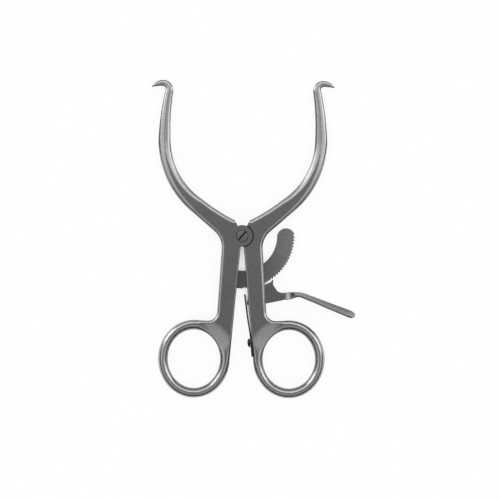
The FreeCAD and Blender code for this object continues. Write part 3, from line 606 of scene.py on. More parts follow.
def turned_outline(corners: list[tuple]) -> list[complex]:
    """Points of a closed outline.

    Args:
        corners: (point, radius) with a radius of 0 for a sharp corner, or (point, radius, middle)
            where the side that follows is an arc through middle.

    Returns:
        Points along the outline, with every corner turned by its radius.
    """
    points: list[complex] = []
    for k, (corner, radius, *middle) in enumerate(corners):
        before, after = corners[k - 1][0], corners[(k + 1) % len(corners)][0]
        points += rounded_corner(before, corner, after, radius) if radius else [corner]
        if middle:
            points += through(corner, middle[0], after)[1:-1]
    return points


@dataclass
class Relief:
    """A flat piece whose two faces fall to its edges as its rims say.

    Its mesh has rows of points along each edge, at the insets, and a grid of triangles that stays
    clear of the edges. An inset point is left out where another edge is nearer than its slack
    share of the inset. All sizes are in millimetres.
    """

    workshop: Workshop
    step: float = 0.3
    grid: float = 0.55
    grid_row: float = 0.866
    insets: tuple[float, ...] = (0.07, 0.2, 0.35, 0.55, 0.8, 1.1, 1.5)
    slack: float = 0.9
    clear: float = 1.75
    batch: int = 400
    worked_out: tuple | None = None

    def edge_lines(self) -> list[Line]:
        """Outer edge, anticlockwise, then any openings, clockwise."""
        raise NotImplementedError

    def half_thickness(self, points: np.ndarray) -> np.ndarray:
        """Half the thickness away from the rims, at places in the plan."""
        raise NotImplementedError

    def ridge(self) -> np.ndarray:
        """Places along a crest that the grid would miss."""
        return np.array([], complex)

    def drop(self, points: np.ndarray, loops: list[Line]) -> tuple[np.ndarray, np.ndarray]:
        """How far the face lies below its full height, and how far each point is from the edge.

        Args:
            points: Places in the plan.
            loops: Edge points with their rows of rim values.

        Returns:
            The fall and the distance at each point, in millimetres.
        """
        starts = np.concatenate([line for line, _ in loops])
        along = np.concatenate([np.roll(line, -1) for line, _ in loops]) - starts
        width, fall, fullness, lip = np.concatenate([rims for _, rims in loops]).T
        falls, distances = [], []
        for chunk in np.array_split(points, max(1, len(points) // self.batch)):
            offset = chunk[:, None] - starts[None, :]
            share = np.clip((offset * np.conj(along)).real / np.abs(along) ** 2, 0, 1)
            distance = np.abs(offset - share * along)
            share = np.clip(1 - distance / width, 0, 1)
            bevel = fall * (1 - (1 - share**fullness) ** (1 / fullness))
            share = np.clip(1 - distance / np.maximum(lip, NO_LIP), 0, 1)
            falls.append((bevel + LIP_SLOPE * lip * share).max(1))
            distances.append(distance.min(1))
        return np.concatenate(falls), np.concatenate(distances)

    def inside(self, points: np.ndarray, loops: list[Line]) -> np.ndarray:
        """Tells which points lie on the piece.

        Args:
            points: Places in the plan.
            loops: Edge points with their rows of rim values.

        Returns:
            True for each point inside the outer edge and outside every opening.
        """
        odd = np.zeros(len(points), bool)
        for line, _ in loops:
            for a, b in zip(line, np.roll(line, -1)):
                spans = (a.imag > points.imag) != (b.imag > points.imag)
                if a.imag != b.imag:
                    rise = points.imag - a.imag
                    cross = a.real + rise * (b.real - a.real) / (b.imag - a.imag)
                    odd ^= spans & (points.real < cross)
        return odd

    def mesh_places(self, loops: list[Line]) -> np.ndarray:
        """Places of the mesh's points, those of the edges first.

        Args:
            loops: Edge points with their rows of rim values.

        Returns:
            The places in the plan.
        """
        plan = [line for line, _ in loops]
        for inset in self.insets:
            for line, _ in loops:
                inward = 1j * (np.roll(line, -1) - np.roll(line, 1))
                row = line + inward / np.abs(inward) * inset
                _, distance = self.drop(row, loops)
                plan.append(row[(distance > inset * self.slack) & self.inside(row, loops)])
        edge = np.concatenate([line for line, _ in loops])
        xs = np.arange(edge.real.min(), edge.real.max(), self.grid)
        ys = np.arange(edge.imag.min(), edge.imag.max(), self.grid * self.grid_row)
        shift = (np.arange(len(ys)) % 2)[:, None] * self.grid / 2
        grid = (xs[None, :] + 1j * ys[:, None] + shift).ravel()
        grid = grid[self.inside(grid, loops)]
        _, distance = self.drop(grid, loops)
        return np.concatenate([*plan, grid[distance > self.clear], self.ridge()])

    def work_out(self) -> tuple[np.ndarray, np.ndarray, np.ndarray]:
        """Works out the face.

        Returns:
            Places of its points, half the thickness at each, and the corners of each triangle.
        """
        loops = [even_steps(*line, self.step) for line in self.edge_lines()]
        places = self.mesh_places(loops)
        borders, first = [], 0
        for line, _ in loops:
            count = len(line)
            borders += [(first + k, first + (k + 1) % count) for k in range(count)]
            first += count
        spots = [Vector((place.real, place.imag)) for place in places]
        flat, _, faces, *_ = delaunay_2d_cdt(spots, borders, [], WITHIN_BORDERS, NEARNESS)
        places = np.array([complex(spot.x, spot.y) for spot in flat])
        corners = np.array([face for face in faces if len(face) == 3])
        corners = corners[self.inside(places[corners].mean(1), loops)]
        fall, _ = self.drop(places, loops)
        return places, np.maximum(self.half_thickness(places) - fall, THINNEST), corners

    def build(self, name: str, mirrored: bool = False) -> bpy.types.Object:
        """Makes the piece as a closed mesh: two faces with a wall between them.

        Args:
            name: Name of the object.
            mirrored: True for its mirror image across the centre line.

        Returns:
            The object, in metres, at the origin.
        """
        self.worked_out = self.worked_out or self.work_out()
        places, half, corners = self.worked_out
        count = len(places)
        LOG.info("%s: %d points, %d triangles a side", name, count, len(corners))
        xyz = np.zeros((count * 2, 3))
        xyz[:, 0] = np.tile(places.real * (-1 if mirrored else 1), 2)
        xyz[:, 1] = np.tile(places.imag, 2)
        xyz[:count, 2], xyz[count:, 2] = MIDDLE + half, MIDDLE - half
        top = corners.tolist()
        sides = {(a, b) for triangle in top for a, b in zip(triangle, triangle[1:] + triangle[:1])}
        wall = [(a + count, b + count, b, a) for a, b in sides if (b, a) not in sides]
        under = [[corner + count for corner in triangle[::-1]] for triangle in top]
        return self.workshop.solid(name, xyz, top + under + sorted(wall))


@dataclass
class ArmForging(Relief):
    """The right arm as it was forged and ground: outline, thickness and rims, in millimetres."""

    width_top: float = 8.1
    width_low: float = 7.45
    top_station: float = 8.0
    low_station: float = 31.0
    face_stations: tuple[float, ...] = (6.0, 30.0, 42.0)
    face_ease: tuple[float, float] = (43.0, 50.0)
    crotch_radius: float = 9.5
    disc_radius: float = 4.75
    disc_points: int = 50
    notch_angle: float = 25.0
    notch_radius: float = 7.4
    blade_lean: float = 53.4
    blade_from: float = 8.0
    root_taper: float = 4.0
    root_width: float = 7.1
    root_power: float = 1.6
    root_sag: float = 0.45
    waist_width: float = 5.2
    neck_width: float = 3.35
    waist_thickness: float = 3.6
    neck_thickness: float = 2.8
    bow_radius: float = 36.0
    bow_centre: complex = -1.7 + 42.0j
    upper_radius: float = 120.0
    upper_lean: float = 10.3
    hook_radius: float = 2.8
    prong_width: float = 2.45
    prong_thickness: float = 2.2
    prong_radius: float = 8.0
    prong_sweep: float = 38.0
    prong_taper: tuple[float, float] = (1.7, 0.8)
    point_size: float = 0.2
    stretch_steps: tuple[int, ...] = (60, 40, 30, 30)
    bevel_start: float = 0.48
    bevel_met_at: float = 0.87
    bevel_power: float = 0.7
    bevel_steepness: tuple[float, float] = (0.7, 0.2)
    bevel_fullness: tuple[float, float] = (1.7, 1.0)
    lip_share: float = 0.16
    ridge_from: float = 0.5
    ridge_stop: int = 2
    ridge_half: float = 0.1
    ring_centre: complex = 20.8 - 53.95j
    ring_half_width: float = 11.5
    ring_half_length: float = 12.85
    ring_band: float = 4.1
    ring_stretch: float = 1.087
    ring_thickness: float = 3.9
    ring_from: float = -20.0
    ring_points: int = 160
    ring_lead_in: int = 6
    ring_lead_out: int = 30
    opening_points: int = 120
    flare_radius: float = 4.2
    flare_end_angle: float = 98.0
    flare_overlap: float = 4.0
    flare_rise: float = 0.05
    flare_ease: float = 25.0
    collar_outer: float = 19.2
    collar_inner: float = 15.0
    collar_softness: float = 1.5
    collar_slope: float = 0.205
    web_angle: float = 138.0
    web_spread: float = 26.0
    web_reach: float = 1.6

    def on_inner_face(self, station: float, inward: float = 0.0) -> complex:
        """Point so far down the shank's inner face, and so far into the shank."""
        return -heading(-SHANK_LEAN) * station + across(-SHANK_LEAN) * (FACE_OFFSET + inward)

    def on_ring(self, angle: float, inside: float = 0.0) -> complex:
        """Point of the ring.

        Args:
            angle: Degrees from +X about the ring's centre.
            inside: How far it lies inside the ring's outer edge.

        Returns:
            The point.
        """
        turn = math.radians(angle)
        out = self.ring_band - inside
        across_x, along_y = self.ring_half_width + out, self.ring_half_length + out
        return self.ring_centre + complex(across_x * math.cos(turn), along_y * math.sin(turn))

    def blade_root(self, aside: float = 0.0) -> complex:
        """Point so far to the right of the blade's middle line, where the blade starts."""
        return self.bow_centre + across(self.blade_lean) * (self.bow_radius + aside)

    def blade_stations(self) -> list[tuple[complex, float, float, float, float]]:
        """Stations along the blade and hook.

        Returns:
            Middle, lean in degrees, width, half-thickness and share of the bow, from root to point.
        """
        stations = []
        place, lean = self.blade_root(), self.blade_lean
        stretches = (
            (-self.blade_lean, self.bow_radius),
            (-self.upper_lean, self.upper_radius),
            (90 + self.upper_lean, self.hook_radius),
            (self.prong_sweep, self.prong_radius),
        )
        for number, (turn, radius) in enumerate(stretches):
            side = math.copysign(radius, turn)
            centre, first = place + across(lean) * side, lean
            steps = self.stretch_steps[number]
            for k in range(0 if number == 0 else 1, steps + 1):
                share = k / steps
                lean = first + turn * share
                place = centre - across(lean) * side
                bow = share if number == 0 else 1.0
                stations.append((place, lean, *self.blade_size(number, share), bow))
        return stations

    def blade_size(self, stretch: int, share: float) -> tuple[float, float]:
        """Size of the blade's section.

        Args:
            stretch: 0 for the bow, 1 above it, 2 round the hook and 3 along its prong.
            share: Share of that stretch.

        Returns:
            Width and half the thickness.
        """
        if stretch == 0:
            spare = (self.root_width - self.waist_width) * (1 - share) ** self.root_power
            return self.waist_width + spare, between(PLATE, self.waist_thickness, share) / 2
        if stretch == 3:
            left = max(0.0, 1 - share ** self.prong_taper[0]) ** self.prong_taper[1]
            return (between(self.point_size, self.prong_width, left),
                    between(self.point_size, self.prong_thickness, left) / 2)
        widths = (self.waist_width, self.neck_width, self.prong_width)
        thicknesses = (self.waist_thickness, self.neck_thickness, self.prong_thickness)
        return (between(*widths[stretch - 1:stretch + 1], share),
                between(*thicknesses[stretch - 1:stretch + 1], share) / 2)

    def blade_rim(self, width: float, share: float) -> np.ndarray:
        """Rim of the blade: bevels that widen along the bow until they meet in a ridge.

        Args:
            width: Width of the blade.
            share: Share of the bow.

        Returns:
            The row of rim values.
        """
        growth = (1 - self.bevel_start) * (share / self.bevel_met_at) ** self.bevel_power
        reach = width / 2 * min(1.0, self.bevel_start + growth)
        return np.array([reach, reach * between(*self.bevel_steepness, share),
                         between(*self.bevel_fullness, share), width * self.lip_share * share])

    def outer_line(self) -> Line:
        """The arm's outer edge.

        Returns:
            Its points, anticlockwise, and a row of rim values for each.
        """
        points: list[complex] = []
        rows: list[np.ndarray] = []

        def add(line: list[complex], start: np.ndarray, end: np.ndarray | None = None) -> None:
            """Adds a stretch whose rim changes evenly.

            Args:
                line: Its points.
                start: Rim values where it begins.
                end: Rim values where it ends, or None where they stay the same.
            """
            for k, point in enumerate(line):
                share = k / max(1, len(line) - 1)
                points.append(point)
                rows.append(start if end is None else start + (end - start) * share)

        shank, crotch_rim, ground, ring_rim, stop, disc_rim, cut = (
            rim.numbers() for rim in (SHANK_RIM, CROTCH_RIM, GROUND_RIM, RING_RIM, STOP_RIM,
                                      DISC_RIM, CUT_RIM))
        root_outer = self.blade_root(self.root_width / 2)
        root_inner = self.blade_root(-self.root_width / 2)
        top = self.on_inner_face(self.top_station, self.width_top)
        low = self.on_inner_face(self.low_station, self.width_low)
        crotch = crossing(top, low - top, root_outer, heading(self.blade_lean - self.root_taper))
        flare_end = self.on_ring(self.flare_end_angle)
        flare = crossing(low, low - top, flare_end, complex(1, self.flare_rise))
        lean = math.tan(math.radians(SHANK_LEAN)) * self.ring_stretch
        first, last = 180 + math.degrees(math.atan(lean)), 360 + self.flare_end_angle
        angles = np.linspace(first, last - self.flare_overlap, self.ring_points)
        ring = [self.on_ring(angle) for angle in angles]
        add(rounded_corner(ring[-1], flare_end, flare, self.flare_ease),
            (ring_rim + shank) / 2, shank)
        add(rounded_corner(flare_end, flare, low, self.flare_radius), shank)
        add(rounded_corner(low, crotch, root_outer, self.crotch_radius), shank, crotch_rim)

        stations = self.blade_stations()
        rims = [self.blade_rim(width, share) for _, _, width, _, share in stations]
        for side, order in ((1, 1), (-1, -1)):
            points += [middle + side * across(lean) * width / 2
                       for middle, lean, width, _, _ in stations[::order]]
            rows += rims[::order]

        stop_inner = heading(self.notch_angle) * self.disc_radius
        stop_outer = heading(self.notch_angle) * self.notch_radius
        sag = (stop_outer + root_inner) / 2 + across(self.blade_lean) * self.root_sag
        add(through(root_inner, sag, stop_outer)[1:-1], rims[0], stop)
        add([stop_outer, stop_inner], cut)
        disc_foot = self.on_inner_face(math.sqrt(self.disc_radius**2 - FACE_OFFSET**2))
        turns = np.linspace(cmath.phase(stop_inner), cmath.phase(disc_foot) + math.tau,
                            self.disc_points)
        add([self.disc_radius * cmath.exp(1j * turn) for turn in turns[1:]], disc_rim)

        eased_rim = (ground + ring_rim) / 2
        lead_in, lead_out = self.ring_lead_in, self.ring_lead_out
        add([self.on_inner_face(station) for station in self.face_stations], ground)
        add([self.on_inner_face(station) for station in self.face_ease], ground, eased_rim)
        add(ring[:lead_in], eased_rim, ring_rim)
        add(ring[lead_in:-lead_out], ring_rim)
        add(ring[-lead_out:], ring_rim, (ring_rim + shank) / 2)
        return points, np.array(rows)

    def opening_line(self) -> Line:
        """The finger opening's edge.

        Returns:
            Its points, clockwise, and a row of rim values for each.
        """
        angles = np.linspace(360, 0, self.opening_points + 1)[:-1]
        points = [self.on_ring(angle, self.ring_band) for angle in angles]
        shares = self.web_share(angles)[:, None]
        return points, RING_RIM.numbers() * (1 - shares) + WEB_RIM.numbers() * shares

    def web_share(self, angles: np.ndarray) -> np.ndarray:
        """How far each place round the ring belongs to the web that joins it to the shank.

        Args:
            angles: Degrees from +X about the ring's centre.

        Returns:
            1 in the web, falling smoothly to 0 round the rest of the ring.
        """
        away = np.abs((angles - self.web_angle + 180) % 360 - 180)
        return eased(np.clip(self.web_reach - away / self.web_spread, 0, 1))

    def ridge(self) -> np.ndarray:
        """Places along the blade's middle line, where its two bevels meet.

        Returns:
            The middle line and a line on each side of it.
        """
        stations = [station for station in self.blade_stations() if station[4] > self.ridge_from]
        stations = stations[:-self.ridge_stop]
        lines = []
        for aside in (-self.ridge_half, 0.0, self.ridge_half):
            line = np.array([middle + across(lean) * aside for middle, lean, *_ in stations])
            marks = marks_along(line)
            lines.append(points_at(np.arange(0, marks[-1], self.step), marks, line))
        return np.concatenate(lines)

    def half_thickness(self, points: np.ndarray) -> np.ndarray:
        """Half the forging's thickness away from its rims.

        Args:
            points: Places in the plan.

        Returns:
            Millimetres from the middle plane to the face.
        """
        stations = self.blade_stations()
        middles = np.array([station[0] for station in stations])
        halves = np.array([station[3] for station in stations])
        nearest = np.abs(points[:, None] - middles[None, :]).argmin(1)
        blade = np.where(points.imag > self.blade_from, halves[nearest], PLATE / 2)
        from_ring = points - self.ring_centre
        inward = np.clip(self.collar_outer - np.abs(from_ring), 0, None)
        slope = inward**2 / (inward + self.collar_softness) * self.collar_slope
        level = eased(np.clip(inward / (self.collar_outer - self.collar_inner), 0, 1))
        level = level * (PLATE - self.ring_thickness) / 2
        web = self.web_share(np.degrees(np.angle(from_ring)))
        ring = PLATE / 2 - slope * web - level * (1 - web)
        return np.where(points.imag < self.ring_from, ring, blade)

    def edge_lines(self) -> list[Line]:
        """The arm's outer edge and its finger opening."""
        return [self.outer_line(), self.opening_line()]


@dataclass
class Arms:
    """Both arms with the openings that were cut into them, in millimetres."""

    workshop: Workshop
    recess_radius: float = 5.05
    lap_gap: float = 0.1
    screw_radius: float = 1.6
    head_recess_radius: float = 2.62
    head_depth: float = 1.0
    slot_half: float = 0.9
    mortise_top: float = -11.476
    mortise_low: float = -32.159
    mortise_length: float = 12.15
    pin_place: complex = 6.184 - 26.159j
    pin_radius: float = 0.9
    bar_half: float = 0.8
    foot_top: float = 10.6
    foot_length: float = 16.0
    foot_depth: float = 5.0
    foot_gap: float = 0.04
    rivet_radius: float = 0.8
    rivet_inset: float = 3.1
    rivet_first: float = 2.0
    rivet_spacing: float = 11.4
    rivet_count: int = 2
    spring_screw_station: float = 47.0
    spring_screw_radius: float = 0.9
    spring_screw_length: float = 3.6
    spring_screw_spare: float = 0.3

    def build(self) -> None:
        """Makes and dresses both arms."""
        forging = ArmForging(self.workshop)
        for body, mirrored, cutters in (
            (Body.RIGHT, False, self.right_cutters), (Body.LEFT, True, self.left_cutters),
        ):
            arm = forging.build(f"{body.value}_forging", mirrored)
            self.workshop.machine(arm, Slot.ARM, cutters())
            self.workshop.dress(arm, Slot.ARM, body, body.value)

    def bore(self, name: str, radius: float, low: float = -PAST, high: float = PLATE + PAST,
             place: Matrix | None = None) -> bpy.types.Object:
        """Makes a round cutter.

        Args:
            name: Name of the object.
            radius: Its radius.
            low: Height of its lower end.
            high: Height of its upper end.
            place: Its own axes, in millimetres.

        Returns:
            The closed solid.
        """
        profile = [(0, low), (radius, low), (radius, high), (0, high)]
        return self.workshop.turned(name, profile, place)

    def right_cutters(self) -> list[bpy.types.Object]:
        """Makes the cutters of the right arm.

        Returns:
            Recess, screw hole, mortise, lever pin hole and spring screw hole.
        """
        low = (FACE_OFFSET, self.mortise_low, MIDDLE - self.slot_half)
        high = (FACE_OFFSET + self.mortise_length, self.mortise_top, MIDDLE + self.slot_half)
        spare = self.spring_screw_spare
        return [
            self.bore("recess", self.recess_radius, MIDDLE - self.lap_gap / 2),
            self.bore("screw_hole", self.screw_radius + FIT, high=MIDDLE + PAST),
            self.workshop.block("mortise", Matrix.Identity(4), low, high),
            self.bore("lever_pin_hole", self.pin_radius + FIT, place=self.pin_axes()),
            self.bore("spring_screw_hole", self.spring_screw_radius + FIT, -spare,
                      self.spring_screw_length + spare, self.spring_screw_axes()),
        ]

    def left_cutters(self) -> list[bpy.types.Object]:
        """Makes the cutters of the left arm.

        Returns:
            Recess, screw hole, seat of the screw's head, mortise of the bar's foot, rivet holes.
        """
        gap = self.foot_gap
        low = (-self.foot_depth - gap, -(self.foot_top + self.foot_length + gap),
               MIDDLE - self.bar_half - gap)
        high = (FACE_OFFSET * 2, gap - self.foot_top, MIDDLE + self.bar_half + gap)
        seat = PLATE - self.head_depth - TURNING_FIT
        return [
            self.bore("recess", self.recess_radius, high=MIDDLE + self.lap_gap / 2),
            self.bore("screw_hole", self.screw_radius + TURNING_FIT, MIDDLE - PAST),
            self.bore("head_seat", self.head_recess_radius, seat),
            self.workshop.block("foot_mortise", self.foot_axes(), low, high),
            *self.rivet_holes("rivet_hole"),
        ]

    def rivet_holes(self, name: str) -> list[bpy.types.Object]:
        """Makes the cutters for the rivets.

        Args:
            name: Name of the objects, before their numbers.

        Returns:
            One cutter for each rivet.
        """
        return [self.bore(f"{name}_{k + 1}", self.rivet_radius + FIT, place=self.rivet_axes(k))
                for k in range(self.rivet_count)]

    def pin_axes(self) -> Matrix:
        """Own axes of the lever pin, from the table up."""
        return upright(self.pin_place.real, self.pin_place.imag)

    def foot_axes(self) -> Matrix:
        """Own axes of the left shank's inner face: X out of it and Y up it from the joint."""
        turn = Matrix.Rotation(math.radians(-SHANK_LEAN), 4, "Z")
        return turn @ Matrix.Translation((-FACE_OFFSET, 0, 0))

    def rivet_axes(self, number: int) -> Matrix:
        """Own axes of a rivet."""
        down = self.foot_top + self.rivet_first + number * self.rivet_spacing
        return self.foot_axes() @ Matrix.Translation((-self.rivet_inset, -down, 0))

    def spring_screw_axes(self) -> Matrix:
        """Own axes of the spring screw, which stands on the right shank's inner face.

        Returns:
            Axes with Z into the shank and X along the face.
        """
        lean = math.radians(SHANK_LEAN)
        into = Vector((math.cos(lean), math.sin(lean), 0))
        along = Vector((-math.sin(lean), math.cos(lean), 0))
        turn = Matrix((along, into.cross(along), into)).transposed().to_4x4()
        start = into * FACE_OFFSET - along * self.spring_screw_station
        return Matrix.Translation((start.x, start.y, MIDDLE)) @ turn


@dataclass
class Screws:
    """Joint screw, spring screw, lever pin and rivets, in millimetres."""

    workshop: Workshop
    arms: Arms
    head_radius: float = 2.5
    head_edge: float = 0.15
    end_edge: float = 0.1
    crown: float = 0.12
    crown_shares: tuple[float, ...] = (0.95, 0.85, 0.7, 0.5, 0.25, 0.0)
    slot_width: float = 0.7
    slot_depth: float = 0.8
    slot_floor: float = 0.35
    slot_turn: float = 49.4
    spring_seat: float = 0.72
    dome_radius: float = 1.9
    dome_height: float = 1.2
    dome_wall: float = 0.25
    dome_power: float = 0.8
    dome_turns: tuple[float, ...] = (0, 12, 25, 40, 55, 70, 82, 90)
    dome_slot_width: float = 0.4
    dome_slot_depth: float = 0.5
    sharp: float = 30.0

    def build(self) -> None:
        """Makes and dresses every fastener."""
        self.joint_screw()
        self.spring_screw()
        self.lever_pin()
        self.rivets()

    def joint_screw(self) -> None:
        """Flush screw with a slightly crowned, slotted head."""
        shank, radius, top = self.arms.screw_radius, self.head_radius, PLATE
        crown = [(radius * share, top + self.crown * (1 - share**2)) for share in self.crown_shares]
        screw = self.workshop.turned("joint_screw_turned", [
            (0, 0), (shank - self.end_edge, 0), (shank, self.end_edge),
            (shank, top - self.arms.head_depth), (radius, top - self.arms.head_depth),
            (radius, top - self.head_edge), *crown,
        ], segments=96)
        self.workshop.machine(screw, Slot.SCREW, [self.groove(top + self.crown)], sharp=self.sharp)
        self.workshop.dress(screw, Slot.SCREW, Body.RIGHT, "joint_screw")

    def groove(self, top: float) -> bpy.types.Object:
        """Makes the cutter for the driver slot, whose walls lean together towards its floor.

        Args:
            top: Height of the middle of the head.

        Returns:
            The closed solid.
        """
        half, floor = self.slot_width / 2, top - self.slot_depth
        profile = [(-half, top), (-half * self.slot_floor, floor), (half * self.slot_floor, floor),
                   (half, top), (half, top + PAST), (-half, top + PAST)]
        place, reach, count = upright(0, 0, self.slot_turn), self.head_radius * 2, len(profile)
        points = [place @ Vector((x, y, z)) for x in (-reach, reach) for y, z in profile]
        faces = [tuple(range(count)), tuple(range(count, 2 * count)), *belts(2, count)]
        return self.workshop.solid("slot", np.array(points), faces)

    def spring_screw(self) -> None:
        """Domed, slotted screw that holds the leaf spring's foot."""
        seat = Matrix.Translation((0, 0, -self.spring_seat))
        place = self.arms.spring_screw_axes() @ seat
        radius, high, wall = self.dome_radius, self.dome_height, self.dome_wall
        turns = [math.radians(degrees) for degrees in self.dome_turns]
        dome = [(radius * math.sin(turn) ** self.dome_power, -wall - (high - wall) * math.cos(turn))
                for turn in turns]
        shank, length = self.arms.spring_screw_radius, self.arms.spring_screw_length
        screw = self.workshop.turned("spring_screw_turned", [
            *dome, (radius, 0), (shank, 0), (shank, length), (0, length),
        ], place)
        reach, half = 2 * radius, self.dome_slot_width / 2
        slot = self.workshop.block("slot", place, (-reach, -half, -high - PAST),
                                   (reach, half, self.dome_slot_depth - high))
        self.workshop.machine(screw, Slot.SPRING, [slot], sharp=self.sharp)
        self.workshop.dress(screw, Slot.SPRING, Body.RIGHT, "spring_screw")

    def lever_pin(self) -> None:
        """Pin that was ground flush with both faces of the shank."""
        pin = self.arms.bore("lever_pin_ground", self.arms.pin_radius, 0, PLATE,
                             self.arms.pin_axes())
        self.workshop.dress(pin, Slot.ARM, Body.RIGHT, "lever_pin")

    def rivets(self) -> None:
        """Row of rivets that was ground flush with both faces of the shank."""
        first, second = (self.arms.rivet_axes(k).translation * MM for k in (0, 1))
        row_tree = PieceTree("row_of_rivets", {
            "Count": self.arms.rivet_count, "Radius": self.arms.rivet_radius * MM,
            "Length": PLATE * MM, "First": first + Vector((0, 0, PLATE / 2)) * MM,
            "Spacing": second - first,
        })
        tree, given = row_tree.tree, row_tree.given
        row = add_node(tree, "GeometryNodeMeshLine", {
            "Count": given["Count"], "Start Location": given["First"], "Offset": given["Spacing"],
        })
        rivet = add_node(tree, "GeometryNodeMeshCylinder", {
            "Vertices": 48, "Radius": given["Radius"], "Depth": given["Length"],
        })
        placed = add_node(tree, "GeometryNodeInstanceOnPoints", {
            "Points": row.outputs["Mesh"], "Instance": rivet.outputs["Mesh"],
        })
        rivets = row_tree.grow("bar_rivets_ground", placed.outputs["Instances"],
                               self.workshop.finish(FINISHES[Slot.ARM]))
        self.workshop.smooth(rivets, self.sharp)
        self.workshop.dress(rivets, Slot.ARM, Body.LEFT, "bar_rivets")


